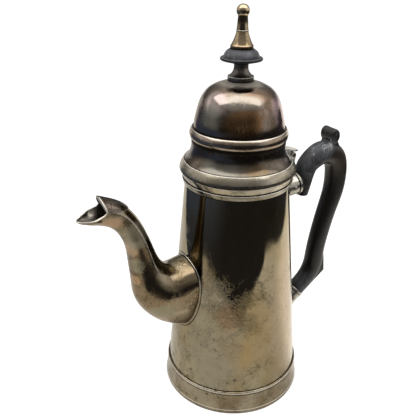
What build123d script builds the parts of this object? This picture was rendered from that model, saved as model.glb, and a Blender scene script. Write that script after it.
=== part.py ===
from build123d import *
from math import cos, radians, sin, sqrt
import os

# Silver-plated coffee pot with a hinged lid, in millimetres.
# The origin is the centre of the foot's underside and +Z is up. The handle is on the +X side
# and the spout on the -X side, so the pot is the same on both sides of the XZ plane.

# Body
MOUTH_Z = 167.0  # height of the mouth rim
BASE_R = 48.9  # radius that the tapered wall would have at the table
MOUTH_R = 34.1  # radius of the wall at the mouth rim
WALL = 0.9
BASE_PLATE_Z = 5.0  # underside of the bottom sheet
BASE_PLATE_T = 1.2

# Foot band
FOOT_H = 18.2
FOOT_T = 0.8  # how far the band stands off the wall
FOOT_ROLL = 0.5  # how far the rolled top edge stands off the band
FOOT_ROLL_H = 2.4
FOOT_SPREAD = 1.1  # how far the lip stands out past the foot of the wall
FOOT_LIP_H = 3.2
FOOT_LEDGE_T = 1.0  # turned-in ledge that the wall stands on
FOOT_LEDGE_W = 2.6

# Mouldings under the mouth
UPPER_BAND_H = 4.7
UPPER_BAND_PROUD = 2.9
LOWER_BAND_H = 3.7
LOWER_BAND_PROUD = 2.0
BAND_LAND = 0.8  # how far the edges of a moulding stand off the wall

# Lid
LID_GAP = 0.3  # running gap between the lid and the mouth
LID_WALL = 0.9
RIM_OVERHANG = 4.1  # how far the lid's rim stands out past the mouth
RIM_EDGE_H = 1.9
RIM_H = 7.0
RIM_SLOPE_W = 2.8  # how far the slope of the rim runs in
RIM_BEVEL = 0.6
RIM_SWELL = 0.2  # how far the slope of the rim swells out
RIM_LAND = 0.4  # flat step between the rim's slope and the cove
COVE_H = 14.3
COVE_NECK_H = 4.0  # upright part at the top of the cove
COVE_STEP = 1.4  # how far the top of the cove stands out past the dome
BEAD_PROUD = 1.3  # how far the bead stands out past the cove
BEAD_H = 6.8
BEAD_FOOT = 0.5  # how far the bead's foot stands out past the cove
BEAD_WAIST = 0.45  # share of the bead's height where it is widest
DOME_R = 29.0
DOME_H = 35.7
DOME_EYE_R = 8.4  # flat seat of the knob
DOME_SHOULDER = ((0.95, 0.436), (0.84, 0.71), (0.625, 0.898))  # shares of radius and height
DOME_CROWN_SLOPE = 0.4
BEZEL_CLEARANCE = 0.6  # between the inner collar and the wall of the mouth
BEZEL_DEPTH = 6.4  # how far the inner collar drops below the rim
BEZEL_TAPER = 0.6
BEZEL_HOLD = 2.2  # how far the collar runs up inside the rim

# Knob
STUD_R = 1.5
STUD_CLEARANCE = 0.1
STUD_GRIP = 8.0  # how far the stud screws into the spire
STUD_TAIL = 1.0  # thread left over below the nut
KNOB_FOOT_R = 8.4
KNOB_FOOT_H = 10.4
KNOB_BAND_H = 2.9
KNOB_WAIST_R = 4.5
KNOB_WAIST_H = 2.0
KNOB_STEP = 0.5
DISC_R = 13.1
DISC_H = 8.6
DISC_EDGE_H = 3.6
DISC_RIM_H = 1.7
DISC_SEAT_R = 5.2
SPIRE_R = 7.1
SPIRE_BAND_H = 1.9
SPIRE_WAIST_R = 4.9
SPIRE_H = 18.6
SPIRE_RING_R = 3.9
SPIRE_RING_Z = 10.2  # height of the small ring above the disc
SPIRE_NECK_R = 2.85
BALL_R = 3.95
WASHER_R = 6.0
WASHER_T = 1.0
NUT_R = 4.0
NUT_H = 3.0

# Hinge
HINGE_OUT = 3.0  # from the edge of the lid's rim to the axis
HINGE_UP = 3.8  # from the mouth rim to the axis
LID_OPENS = 85.0  # degrees, where the tail meets the back of the bracket
PIN_R = 0.8
PIN_CLEARANCE = 0.05
PIN_HEAD_R = 1.2
PIN_HEAD_T = 0.4
KNUCKLE_R = 2.0
MID_KNUCKLE_W = 5.0
SIDE_KNUCKLE_W = 2.9
HINGE_GAP = 0.3  # between the two leaves
LEAF_T = 1.4
LEAF_W = 10.4
LEAF_DIP = 16.0  # slope of the lid's leaf, in degrees
LEAF_WEB = 2.4
TAIL_START = 1.0
TAIL_REACH = 9.0
TAIL_TIP_W = 2.6
STRAP_REACH = 7.5
STRAP_BLOCK = 2.4  # where the block under the strap ends
BRACKET_L = 13.5
SLOT_REACH = 4.0  # how far the slot for the middle knuckle runs from the axis

# Spout
SPOUT_Z = 83.0  # middle of the joint with the wall
SPOUT_WALL = 0.9
FLANGE_T = 0.7
FLANGE_LIP = 1.6
STRAINER_HOLE_R = 1.5
STRAINER_PITCH = 4.4
STRAINER_RINGS = 2  # rings of holes round the middle one
HOOD_T = 0.7
HOOD_ROOM = 4.0  # room cut free above the hood
BEAK_ROOM = 6.0  # room cut free past the tip of the beak and above its mouth
FLANGE_SPAN = 32.0  # more than the height of the joint, up and down

# Sockets that hold the handle
SOCKET_WALL = 0.9
SOCKET_LIP = 0.8
SOCKET_LIP_T = 1.8
UPPER_SOCKET_DROP = 21.5  # from the mouth rim to the middle of the socket at the wall
UPPER_SOCKET_TILT = 6.3  # degrees
UPPER_SOCKET_R = 7.6
UPPER_SOCKET_REACH = 13.6
LOWER_SOCKET_Z = 43.5
LOWER_SOCKET_TILT = 42.0
LOWER_SOCKET_R = 6.6
LOWER_SOCKET_REACH = 13.0
SOCKET_FLARE = 0.5  # how much wider a socket is at the wall
RIVET_AT = 0.55  # place along a socket
RIVET_R = 1.1
RIVET_HEAD_R = 1.9
RIVET_HEAD_T = 0.6
RIVET_HEAD_ROUND = 0.36

# Handle
HANDLE_GAP = 0.3  # between the handle and the lip of a socket
TENON_CLEARANCE = 0.1
TENON_L = 8.0
SCROLL_DEEP = 3.8  # the rolled scroll is taller than it is deep
SCROLL_TALL = 5.2
SCROLL_W = 13.4
SCROLL_DIMPLE_R = 1.2
SCROLL_DIMPLE = 0.8
SCROLL_NECK_W = 11.0
SPUR_W = 9.0
GRIP_ROUNDNESS = 0.88
GRIP_STEP = 0.3  # how much the grip draws in at the lower socket

os.makedirs("parts", exist_ok=True)


def save(builder, name):
    """Label a finished piece and write it."""
    builder.part.label = name
    export_step(builder.part, f"parts/{name}.step")


def wall_radius(z):
    """Outer radius of the tapered wall at height z."""
    return BASE_R + (MOUTH_R - BASE_R) * z / MOUTH_Z


def wall_strip(low, high, inner, outer):
    """Outline of a ring that follows the wall; its faces are measured from the wall's outside."""
    with BuildSketch(Plane.XZ) as strip:
        with BuildLine():
            Polyline(
                (wall_radius(low) + inner, low),
                (wall_radius(low) + outer, low),
                (wall_radius(high) + outer, high),
                (wall_radius(high) + inner, high),
                close=True,
            )
        make_face()
    return strip.sketch


# The room inside the wall's outer face, which trims what is soldered on the wall
with BuildPart() as wall_room:
    with BuildSketch(Plane.XZ):
        with BuildLine():
            Polyline((0, 0), (BASE_R, 0), (MOUTH_R, MOUTH_Z), (0, MOUTH_Z), close=True)
        make_face()
    revolve(axis=Axis.Z)

# Body: a tapered sheet tube, pierced behind the spout
with BuildPart() as body_shell:
    add(wall_strip(FOOT_LEDGE_T, MOUTH_Z, -WALL, 0))
    revolve(axis=Axis.Z)
    with BuildSketch(Plane(origin=(0, 0, SPOUT_Z), x_dir=(0, 1, 0), z_dir=(-1, 0, 0))):
        Circle(STRAINER_HOLE_R)
        for ring in range(1, STRAINER_RINGS + 1):
            with PolarLocations(ring * STRAINER_PITCH, 6 * ring):
                Circle(STRAINER_HOLE_R)
    extrude(amount=BASE_R, mode=Mode.SUBTRACT)
save(body_shell, "body_shell")

with BuildPart() as base_plate:
    plate_top = BASE_PLATE_Z + BASE_PLATE_T
    with BuildSketch(Plane.XZ):
        with BuildLine():
            Polyline(
                (0, BASE_PLATE_Z),
                (wall_radius(BASE_PLATE_Z) - WALL, BASE_PLATE_Z),
                (wall_radius(plate_top) - WALL, plate_top),
                (0, plate_top),
                close=True,
            )
        make_face()
    revolve(axis=Axis.Z)
save(base_plate, "base_plate")

# Foot band: a spread lip, a slightly hollow face and a rolled top edge
with BuildPart() as foot_band:
    lip_r = BASE_R + FOOT_SPREAD
    ledge_r = BASE_R - FOOT_LEDGE_W
    roll_z = FOOT_H - FOOT_ROLL_H
    hollow_z = (FOOT_LIP_H + roll_z) / 2
    with BuildSketch(Plane.XZ):
        with BuildLine():
            Line((ledge_r, 0), (lip_r - FOOT_T, 0))
            ThreePointArc(
                (lip_r - FOOT_T, 0),
                (lip_r, FOOT_LIP_H / 2),
                (lip_r - FOOT_T / 3, FOOT_LIP_H),
            )
            ThreePointArc(
                (lip_r - FOOT_T / 3, FOOT_LIP_H),
                (wall_radius(hollow_z) + FOOT_T, hollow_z),
                (wall_radius(roll_z) + FOOT_T, roll_z),
            )
            ThreePointArc(
                (wall_radius(roll_z) + FOOT_T, roll_z),
                (wall_radius(FOOT_H) + FOOT_T + FOOT_ROLL, FOOT_H - FOOT_ROLL_H / 2),
                (wall_radius(FOOT_H) + FOOT_T / 2, FOOT_H),
            )
            Polyline(
                (wall_radius(FOOT_H) + FOOT_T / 2, FOOT_H),
                (wall_radius(FOOT_H), FOOT_H),
                (wall_radius(FOOT_LEDGE_T), FOOT_LEDGE_T),
                (ledge_r, FOOT_LEDGE_T),
                (ledge_r, 0),
            )
        make_face()
    revolve(axis=Axis.Z)
save(foot_band, "foot_band")


def moulding(low, high, proud):
    """Half-round wire that is soldered round the wall between two heights."""
    middle = (low + high) / 2
    with BuildPart() as wire:
        with BuildSketch(Plane.XZ):
            with BuildLine():
                Line((wall_radius(low), low), (wall_radius(low) + BAND_LAND, low))
                ThreePointArc(
                    (wall_radius(low) + BAND_LAND, low),
                    (wall_radius(middle) + proud, middle),
                    (wall_radius(high) + BAND_LAND, high),
                )
                Polyline(
                    (wall_radius(high) + BAND_LAND, high),
                    (wall_radius(high), high),
                    (wall_radius(low), low),
                )
            make_face()
        revolve(axis=Axis.Z)
    return wire


band_seam_z = MOUTH_Z - UPPER_BAND_H
upper_moulding = moulding(band_seam_z, MOUTH_Z, UPPER_BAND_PROUD)
save(upper_moulding, "upper_moulding")
lower_moulding = moulding(band_seam_z - LOWER_BAND_H, band_seam_z, LOWER_BAND_PROUD)
save(lower_moulding, "lower_moulding")

# Spout: a swan neck. Each station gives the crest and the keel of one section, its half width
# and how far down the section its two side creases lie. The first number of a point runs
# outward from the wall at SPOUT_Z and the second is its height over SPOUT_Z.
spout_stations = [
    ((-8.0, 28.0), (-8.0, -24.0), 16.6, 0.28),
    ((0.0, 26.6), (1.6, -23.8), 16.4, 0.28),
    ((6.2, 25.2), (18.3, -16.0), 15.4, 0.28),
    ((10.5, 25.6), (32.6, 1.0), 13.2, 0.28),
    ((14.6, 28.8), (36.0, 17.0), 10.6, 0.28),
    ((18.3, 35.2), (37.2, 31.0), 8.7, 0.28),
    ((22.0, 45.6), (38.2, 41.5), 7.9, 0.28),
    ((25.8, 55.4), (40.2, 49.8), 7.6, 0.28),
    ((30.2, 64.3), (43.8, 56.8), 7.6, 0.28),
    ((36.2, 72.4), (48.2, 61.3), 7.8, 0.28),
    ((43.0, 77.6), (52.6, 63.6), 8.0, 0.30),
    ((50.0, 80.8), (56.4, 64.9), 8.3, 0.38),
    ((55.0, 82.2), (59.6, 66.0), 8.8, 0.55),
    ((59.5, 79.5), (62.4, 66.9), 6.9, 0.65),
    ((63.5, 75.5), (65.0, 67.6), 4.8, 0.65),
    ((66.3, 72.8), (67.2, 68.6), 2.6, 0.65),
    ((68.0, 71.3), (68.5, 69.8), 0.8, 0.60),
]
hood_from = 9  # station where the hood's rear point lies
hood_to = 11  # last station whose crease the hood's sides follow
flange_to = 4  # the flange follows the form of the first stations
beak_end = 16  # the hollow of the beak runs up to this station
# Edge of the open beak in side view, from the corner of the mouth to the tip
beak_edge = [
    (51.4, 75.1),
    (53.0, 73.2),
    (57.5, 71.6),
    (62.5, 70.6),
    (67.0, 69.8),
    (70.0, 69.6),
]
hood_tip = (54.1, 82.4)


def spout_point(x, z):
    """Point in the XZ plane from a distance off the wall and a height over the joint."""
    return Vector(-wall_radius(SPOUT_Z) - x, 0, SPOUT_Z + z)


def spout_section(crest, keel, half_width, crease, inset):
    """An arched back over a deep rounded belly, which meet in the two side creases."""
    top = spout_point(*crest)
    low = spout_point(*keel)
    depth = (top - low).length
    plane = Plane(
        origin=top + (low - top) * crease,
        x_dir=(0, 1, 0),
        z_dir=Vector(0, 1, 0).cross(top - low),
    )
    width = half_width - inset
    drop = inset / 2
    with BuildSketch(plane) as section:
        with BuildLine():
            ThreePointArc((-width, -drop), (0, depth * crease - inset), (width, -drop))
            EllipticalCenterArc(
                (0, -drop),
                width,
                depth * (1 - crease) - inset - drop,
                start_angle=180,
                arc_size=180,
            )
        make_face()
    return section.sketch


def spout_solid(inset, last=None):
    """Swan neck lofted through its stations, drawn in all round by an inset."""
    return loft([spout_section(*station, inset) for station in spout_stations[:last]])


def side_prism(points):
    """Block with a side-view outline, wide enough to cut right through the spout."""
    with BuildPart() as prism:
        with BuildSketch(Plane.XZ):
            with BuildLine():
                Polyline(*[(spout_point(*p).X, spout_point(*p).Z) for p in points], close=True)
            make_face()
        extrude(amount=2 * spout_stations[0][2], both=True)
    return prism.part


spout_form = spout_solid(0)
room_end = beak_edge[-1][0] + BEAK_ROOM
room_top = hood_tip[1] + BEAK_ROOM
beak_room = side_prism(
    beak_edge
    + [(room_end, beak_edge[-1][1]), (room_end, room_top), (hood_tip[0], room_top), hood_tip]
)
with BuildPart() as spout:
    add(spout_form)
    add(spout_solid(SPOUT_WALL, last=beak_end), mode=Mode.SUBTRACT)
    add(beak_room, mode=Mode.SUBTRACT)
    add(wall_room.part, mode=Mode.SUBTRACT)
save(spout, "spout")

# Hood: a second sheet over the mouth. Its sides end on the creases and its rear edge is a V.
with BuildPart() as spout_hood:
    hood_creases = []
    for crest, keel, half_width, crease in spout_stations[hood_from + 1 : hood_to + 1]:
        hood_creases.append(
            (crest[0] + (keel[0] - crest[0]) * crease, crest[1] + (keel[1] - crest[1]) * crease)
        )
    rear_x, rear_z = spout_stations[hood_from][0]
    over_hood = [(hood_tip[0], hood_tip[1] + HOOD_ROOM), (rear_x - HOOD_ROOM, rear_z + HOOD_ROOM)]
    add(spout_solid(-HOOD_T))
    add(spout_form, mode=Mode.SUBTRACT)
    add(
        side_prism([(rear_x, rear_z)] + hood_creases + [beak_edge[0], hood_tip] + over_hood),
        mode=Mode.INTERSECT,
    )
save(spout_hood, "spout_hood")

# Flange: thin sheet collar that is soldered on the wall round the spout
with BuildPart() as spout_flange:
    add(spout_solid(-FLANGE_LIP, last=flange_to))
    add(spout_form, mode=Mode.SUBTRACT)
    add(wall_room.part, mode=Mode.SUBTRACT)
    add(wall_strip(SPOUT_Z - FLANGE_SPAN, SPOUT_Z + FLANGE_SPAN, FLANGE_T, 2 * FLANGE_SPAN))
    revolve(axis=Axis.Z, mode=Mode.SUBTRACT)
save(spout_flange, "spout_flange")


# Handle sockets. A socket's plane stands on the wall and looks along the socket.
def socket_plane(z, tilt):
    """Plane at the foot of a socket, with its normal along the socket's axis."""
    return Plane(
        origin=(wall_radius(z), 0, z),
        x_dir=(0, 1, 0),
        z_dir=(cos(radians(tilt)), 0, sin(radians(tilt))),
    )


def rivet_place(plane, reach):
    """Plane across a socket where its rivet goes through."""
    return Plane(origin=plane.offset(reach * RIVET_AT).origin, x_dir=(1, 0, 0), z_dir=(0, 1, 0))


def socket_cup(plane, mouth_r, reach):
    """Tapered cup with a lip, cut to the wall and drilled across for its rivet."""
    root_r = mouth_r + SOCKET_FLARE
    with BuildPart() as cup:
        for shrink, mode in ((0, Mode.ADD), (SOCKET_WALL, Mode.SUBTRACT)):
            if mode == Mode.SUBTRACT:
                with BuildSketch(plane.offset(reach - SOCKET_LIP_T)):
                    Circle(mouth_r + SOCKET_LIP)
                extrude(amount=SOCKET_LIP_T)
            with BuildSketch(plane.offset(-root_r)):
                Circle(root_r - shrink)
            with BuildSketch(plane.offset(reach)):
                Circle(mouth_r - shrink)
            loft(mode=mode)
        with BuildSketch(rivet_place(plane, reach)):
            Circle(RIVET_R)
        extrude(amount=2 * root_r, both=True, mode=Mode.SUBTRACT)
        add(wall_room.part, mode=Mode.SUBTRACT)
    return cup


def socket_rivet(plane, mouth_r, reach, cup):
    """Rivet across a socket, with a low head on each side that is fitted to the cup."""
    head_y = mouth_r + SOCKET_FLARE * (1 - RIVET_AT)
    with BuildPart() as rivet:
        with BuildSketch(rivet_place(plane, reach)):
            Circle(RIVET_R)
        extrude(amount=head_y, both=True)
        for side in (1, -1):
            with BuildSketch(rivet_place(plane, reach).offset(side * (head_y + RIVET_HEAD_T))):
                Circle(RIVET_HEAD_R)
            extrude(amount=-side * 2 * RIVET_HEAD_T)
        outer_edges = rivet.edges().filter_by(GeomType.CIRCLE).group_by(Axis.Y)
        fillet(outer_edges[0] + outer_edges[-1], RIVET_HEAD_ROUND)
        add(cup.part, mode=Mode.SUBTRACT)
    return rivet


upper_plane = socket_plane(MOUTH_Z - UPPER_SOCKET_DROP, UPPER_SOCKET_TILT)
upper_socket = socket_cup(upper_plane, UPPER_SOCKET_R, UPPER_SOCKET_REACH)
save(upper_socket, "upper_socket")
upper_handle_pin = socket_rivet(upper_plane, UPPER_SOCKET_R, UPPER_SOCKET_REACH, upper_socket)
save(upper_handle_pin, "upper_handle_pin")

lower_plane = socket_plane(LOWER_SOCKET_Z, LOWER_SOCKET_TILT)
lower_socket = socket_cup(lower_plane, LOWER_SOCKET_R, LOWER_SOCKET_REACH)
save(lower_socket, "lower_socket")
lower_handle_pin = socket_rivet(lower_plane, LOWER_SOCKET_R, LOWER_SOCKET_REACH, lower_socket)
save(lower_handle_pin, "lower_handle_pin")

# Handle: a C scroll carved in one piece. Each station gives its place, the direction of the
# grip in degrees, and the section's half thickness and half width. A place is the share of the
# rise from the lower socket's mouth to the upper one's, and the distance out from their line.
handle_stations = [
    (0.905, 3.6, 88, 4.0, 6.3),
    (0.989, 5.0, 85, 5.0, 7.1),
    (1.093, 7.3, 73, 6.4, 7.2),
    (1.147, 10.9, 47, 7.0, 7.2),
    (1.184, 15.9, 27, 7.6, 7.4),
    (1.204, 23.0, 5, 8.2, 7.5),
    (1.172, 31.4, -40, 8.0, 7.5),
    (1.064, 35.4, -80, 7.6, 7.4),
    (0.894, 34.6, -96, 7.2, 7.2),
    (0.744, 30.3, -105, 6.6, 6.9),
    (0.558, 24.8, -102, 6.5, 6.6),
    (0.362, 20.4, -97, 6.5, 6.5),
    (0.240, 18.6, -105, 7.0, 6.5),
    (0.135, 13.5, -128, 6.8, 6.4),
    (0.053, 5.3, -138, 6.4, 6.3),
]
scroll_place = (1.338, 28.2)
scroll_neck = [(1.31, 25.9), (1.31, 30.5), (1.215, 34.8), (1.12, 31.0), (1.22, 21.5)]
spur_outline = [
    (0.36, 25.6),
    (0.26, 26.9),
    (0.139, 27.9),
    (-0.035, 5.0),
    (0.03, 3.0),
    (0.24, 18.0),
]

upper_mouth = upper_plane.offset(UPPER_SOCKET_REACH + HANDLE_GAP).origin
lower_mouth = lower_plane.offset(LOWER_SOCKET_REACH + HANDLE_GAP).origin


def handle_point(share, out):
    """Point in the XZ plane from a share of the rise between the socket mouths."""
    return lower_mouth + (upper_mouth - lower_mouth) * share + Vector(out, 0, 0)


def handle_section(origin, heading, thick, wide):
    """Section of the grip: a rectangle with well rounded corners, square to the grip."""
    plane = Plane(
        origin=origin,
        x_dir=(0, 1, 0),
        z_dir=(cos(radians(heading)), 0, sin(radians(heading))),
    )
    with BuildSketch(plane) as section:
        RectangleRounded(2 * wide, 2 * thick, min(thick, wide) * GRIP_ROUNDNESS)
    return section.sketch


with BuildPart() as handle:
    grip_sections = [
        handle_section(handle_point(share, out), heading, thick, wide)
        for share, out, heading, thick, wide in handle_stations
    ]
    grip_foot = LOWER_SOCKET_R - GRIP_STEP
    grip_sections.append(
        handle_section(lower_mouth, LOWER_SOCKET_TILT - 180, grip_foot, grip_foot)
    )
    loft(grip_sections)
    with BuildSketch(Plane.XZ):
        with BuildLine():
            Polyline(*[(handle_point(*p).X, handle_point(*p).Z) for p in scroll_neck], close=True)
        make_face()
    extrude(amount=SCROLL_NECK_W / 2, both=True)
    with BuildSketch(Plane.XZ):
        with BuildLine():
            Polyline(*[(handle_point(*p).X, handle_point(*p).Z) for p in spur_outline], close=True)
        make_face()
    extrude(amount=SPUR_W / 2, both=True)
    scroll_axis = Plane(origin=handle_point(*scroll_place), x_dir=(1, 0, 0), z_dir=(0, 1, 0))
    with BuildSketch(scroll_axis):
        Ellipse(SCROLL_DEEP, SCROLL_TALL)
    extrude(amount=SCROLL_W / 2, both=True)
    for side in (1, -1):
        with BuildSketch(scroll_axis.offset(side * SCROLL_W / 2)):
            Circle(SCROLL_DIMPLE_R)
        extrude(amount=-side * SCROLL_DIMPLE, mode=Mode.SUBTRACT)
    # Room for each socket, and the tenon that goes into it
    for plane, mouth_r, reach in (
        (upper_plane, UPPER_SOCKET_R, UPPER_SOCKET_REACH),
        (lower_plane, LOWER_SOCKET_R, LOWER_SOCKET_REACH),
    ):
        with BuildSketch(plane):
            Circle(mouth_r + SOCKET_LIP + HANDLE_GAP)
        extrude(amount=reach + HANDLE_GAP, mode=Mode.SUBTRACT)
        with BuildSketch(plane.offset(reach - TENON_L)):
            Circle(mouth_r - SOCKET_WALL - TENON_CLEARANCE)
        extrude(amount=TENON_L + 2 * HANDLE_GAP)
        with BuildSketch(rivet_place(plane, reach)):
            Circle(RIVET_R)
        extrude(amount=2 * mouth_r, both=True, mode=Mode.SUBTRACT)
save(handle, "handle")

# Lid: its pieces are turned about the pot's axis, so each has a profile beside that axis
rim_z = MOUTH_Z + LID_GAP
cove_z = rim_z + RIM_H
bead_z = cove_z + COVE_H
eye_z = bead_z + DOME_H
rim_r = MOUTH_R + RIM_OVERHANG
rim_top_r = rim_r - RIM_SLOPE_W
bezel_r = MOUTH_R - WALL - BEZEL_CLEARANCE
cove_foot_r = rim_top_r - RIM_LAND
cove_top_r = DOME_R + COVE_STEP
inner_dome_r = DOME_R - LID_WALL

with BuildPart() as lid_rim:
    with BuildSketch(Plane.XZ):
        with BuildLine():
            Polyline(
                (bezel_r, rim_z),
                (rim_r - RIM_BEVEL, rim_z),
                (rim_r, rim_z + RIM_BEVEL),
                (rim_r, rim_z + RIM_EDGE_H),
            )
            ThreePointArc(
                (rim_r, rim_z + RIM_EDGE_H),
                ((rim_r + rim_top_r) / 2 + RIM_SWELL, (rim_z + RIM_EDGE_H + cove_z) / 2 + RIM_SWELL),
                (rim_top_r, cove_z),
            )
            Polyline(
                (rim_top_r, cove_z),
                (cove_foot_r - LID_WALL, cove_z),
                (cove_foot_r - LID_WALL, cove_z - LID_WALL),
                (bezel_r, rim_z + BEZEL_HOLD),
                (bezel_r, rim_z),
            )
        make_face()
    revolve(axis=Axis.Z)
save(lid_rim, "lid_rim")

with BuildPart() as lid_bezel:
    with BuildSketch(Plane.XZ):
        with BuildLine():
            Polyline(
                (bezel_r, rim_z + BEZEL_HOLD),
                (bezel_r, rim_z),
                (bezel_r - BEZEL_TAPER, rim_z - BEZEL_DEPTH),
                (bezel_r - BEZEL_TAPER - LID_WALL, rim_z - BEZEL_DEPTH),
                (bezel_r - LID_WALL, rim_z),
                (bezel_r - LID_WALL, rim_z + BEZEL_HOLD),
                close=True,
            )
        make_face()
    revolve(axis=Axis.Z)
save(lid_bezel, "lid_bezel")


def cove_form():
    """Solid form of the cove: hollow sides that rise to an upright neck."""
    upright_z = bead_z - COVE_NECK_H
    with BuildPart() as form:
        with BuildSketch(Plane.XZ):
            with BuildLine():
                Line((0, bead_z), (cove_top_r, bead_z))
                Line((cove_top_r, bead_z), (cove_top_r, upright_z))
                TangentArc((cove_top_r, upright_z), (cove_foot_r, cove_z), tangent=(0, -1))
                Polyline((cove_foot_r, cove_z), (0, cove_z), (0, bead_z))
            make_face()
        revolve(axis=Axis.Z)
    return form.part


with BuildPart() as lid_cove:
    add(cove_form())
    offset(amount=-LID_WALL, openings=lid_cove.faces().sort_by(Axis.Z)[0])
    with BuildSketch(Plane.XY.offset(bead_z)):
        Circle(inner_dome_r)
    extrude(amount=-2 * LID_WALL, mode=Mode.SUBTRACT)
save(lid_cove, "lid_cove")

with BuildPart() as lid_bead:
    with BuildSketch(Plane.XZ):
        with BuildLine():
            Line((DOME_R, bead_z), (cove_top_r + BEAD_FOOT, bead_z))
            ThreePointArc(
                (cove_top_r + BEAD_FOOT, bead_z),
                (cove_top_r + BEAD_PROUD, bead_z + BEAD_H * BEAD_WAIST),
                (DOME_R + LID_WALL, bead_z + BEAD_H),
            )
            Polyline(
                (DOME_R + LID_WALL, bead_z + BEAD_H),
                (DOME_R, bead_z + BEAD_H),
                (DOME_R, bead_z),
            )
        make_face()
    revolve(axis=Axis.Z)
save(lid_bead, "lid_bead")

with BuildPart() as lid_dome:
    with BuildSketch(Plane.XZ):
        with BuildLine():
            Polyline((0, eye_z), (0, bead_z), (DOME_R, bead_z), (DOME_R, bead_z + BEAD_H))
            Spline(
                (DOME_R, bead_z + BEAD_H),
                *[(DOME_R * out, bead_z + DOME_H * up) for out, up in DOME_SHOULDER],
                tangents=((0, 1), (-1, DOME_CROWN_SLOPE)),
            )
            crown = (DOME_R * DOME_SHOULDER[-1][0], bead_z + DOME_H * DOME_SHOULDER[-1][1])
            Polyline(crown, (DOME_EYE_R, eye_z), (0, eye_z))
        make_face()
    revolve(axis=Axis.Z)
    offset(amount=-LID_WALL, openings=lid_dome.faces().sort_by(Axis.Z)[0])
    with BuildSketch(Plane.XY.offset(eye_z)):
        Circle(STUD_R + STUD_CLEARANCE)
    extrude(amount=-2 * LID_WALL, mode=Mode.SUBTRACT)
save(lid_dome, "lid_dome")

# Knob: turned pieces on a stud
disc_z = eye_z + KNOB_FOOT_H
spire_z = disc_z + DISC_H
bore_r = STUD_R + STUD_CLEARANCE

with BuildPart() as finial_foot:
    waist_z = disc_z - KNOB_WAIST_H
    with BuildSketch(Plane.XZ):
        with BuildLine():
            Line((bore_r, eye_z), (KNOB_FOOT_R - KNOB_STEP, eye_z))
            ThreePointArc(
                (KNOB_FOOT_R - KNOB_STEP, eye_z),
                (KNOB_FOOT_R, eye_z + KNOB_BAND_H / 2),
                (KNOB_FOOT_R - KNOB_STEP / 2, eye_z + KNOB_BAND_H),
            )
            Line(
                (KNOB_FOOT_R - KNOB_STEP / 2, eye_z + KNOB_BAND_H),
                (KNOB_FOOT_R - KNOB_STEP, eye_z + KNOB_BAND_H),
            )
            TangentArc(
                (KNOB_WAIST_R, waist_z),
                (KNOB_FOOT_R - KNOB_STEP, eye_z + KNOB_BAND_H),
                tangent=(0, -1),
            )
            Polyline(
                (KNOB_WAIST_R, waist_z),
                (KNOB_WAIST_R, disc_z),
                (bore_r, disc_z),
                (bore_r, eye_z),
            )
        make_face()
    revolve(axis=Axis.Z)
save(finial_foot, "finial_foot")

with BuildPart() as finial_disc:
    edge_z = disc_z + DISC_EDGE_H
    with BuildSketch(Plane.XZ):
        with BuildLine():
            Line((bore_r, disc_z), (DISC_SEAT_R, disc_z))
            Line((DISC_SEAT_R, disc_z), (DISC_R - KNOB_STEP, edge_z - DISC_RIM_H))
            ThreePointArc(
                (DISC_R - KNOB_STEP, edge_z - DISC_RIM_H),
                (DISC_R, edge_z - DISC_RIM_H / 2),
                (DISC_R - KNOB_STEP, edge_z),
            )
            Line((DISC_R - KNOB_STEP, edge_z), (DISC_R - 3 * KNOB_STEP, edge_z))
            ThreePointArc(
                (DISC_R - 3 * KNOB_STEP, edge_z),
                ((DISC_R + SPIRE_R) / 2, (edge_z + spire_z) / 2),
                (SPIRE_R, spire_z),
            )
            Polyline((SPIRE_R, spire_z), (bore_r, spire_z), (bore_r, disc_z))
        make_face()
    revolve(axis=Axis.Z)
save(finial_disc, "finial_disc")

with BuildPart() as finial_spire:
    band_z = spire_z + SPIRE_BAND_H
    ring_z = spire_z + SPIRE_RING_Z
    neck_z = spire_z + SPIRE_H
    ball_z = neck_z + sqrt(BALL_R**2 - SPIRE_NECK_R**2)
    with BuildSketch(Plane.XZ):
        with BuildLine():
            Polyline(
                (STUD_R, spire_z + STUD_GRIP),
                (STUD_R, spire_z),
                (SPIRE_R, spire_z),
                (SPIRE_R, band_z),
                (SPIRE_R - KNOB_STEP, band_z + KNOB_STEP),
            )
            ThreePointArc(
                (SPIRE_R - KNOB_STEP, band_z + KNOB_STEP),
                (SPIRE_WAIST_R, (band_z + ring_z) / 2),
                (SPIRE_RING_R - KNOB_STEP / 2, ring_z),
            )
            ThreePointArc(
                (SPIRE_RING_R - KNOB_STEP / 2, ring_z),
                (SPIRE_RING_R, ring_z + KNOB_STEP / 2),
                (SPIRE_RING_R - KNOB_STEP / 2, ring_z + KNOB_STEP),
            )
            Line((SPIRE_RING_R - KNOB_STEP / 2, ring_z + KNOB_STEP), (SPIRE_NECK_R, neck_z))
            ThreePointArc((SPIRE_NECK_R, neck_z), (BALL_R, ball_z), (0, ball_z + BALL_R))
            Polyline((0, ball_z + BALL_R), (0, spire_z + STUD_GRIP), (STUD_R, spire_z + STUD_GRIP))
        make_face()
    revolve(axis=Axis.Z)
save(finial_spire, "finial_spire")

washer_z = eye_z - LID_WALL - WASHER_T
nut_z = washer_z - NUT_H
with BuildPart() as finial_washer:
    with BuildSketch(Plane.XY.offset(washer_z)):
        Circle(WASHER_R)
        Circle(bore_r, mode=Mode.SUBTRACT)
    extrude(amount=WASHER_T)
save(finial_washer, "finial_washer")

with BuildPart() as finial_nut:
    with BuildSketch(Plane.XY.offset(nut_z)):
        RegularPolygon(NUT_R, side_count=6)
        Circle(STUD_R, mode=Mode.SUBTRACT)
    extrude(amount=NUT_H)
save(finial_nut, "finial_nut")

with BuildPart() as finial_stud:
    with BuildSketch(Plane.XY.offset(nut_z - STUD_TAIL)):
        Circle(STUD_R)
    extrude(amount=spire_z + STUD_GRIP - nut_z + STUD_TAIL)
save(finial_stud, "finial_stud")

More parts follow.
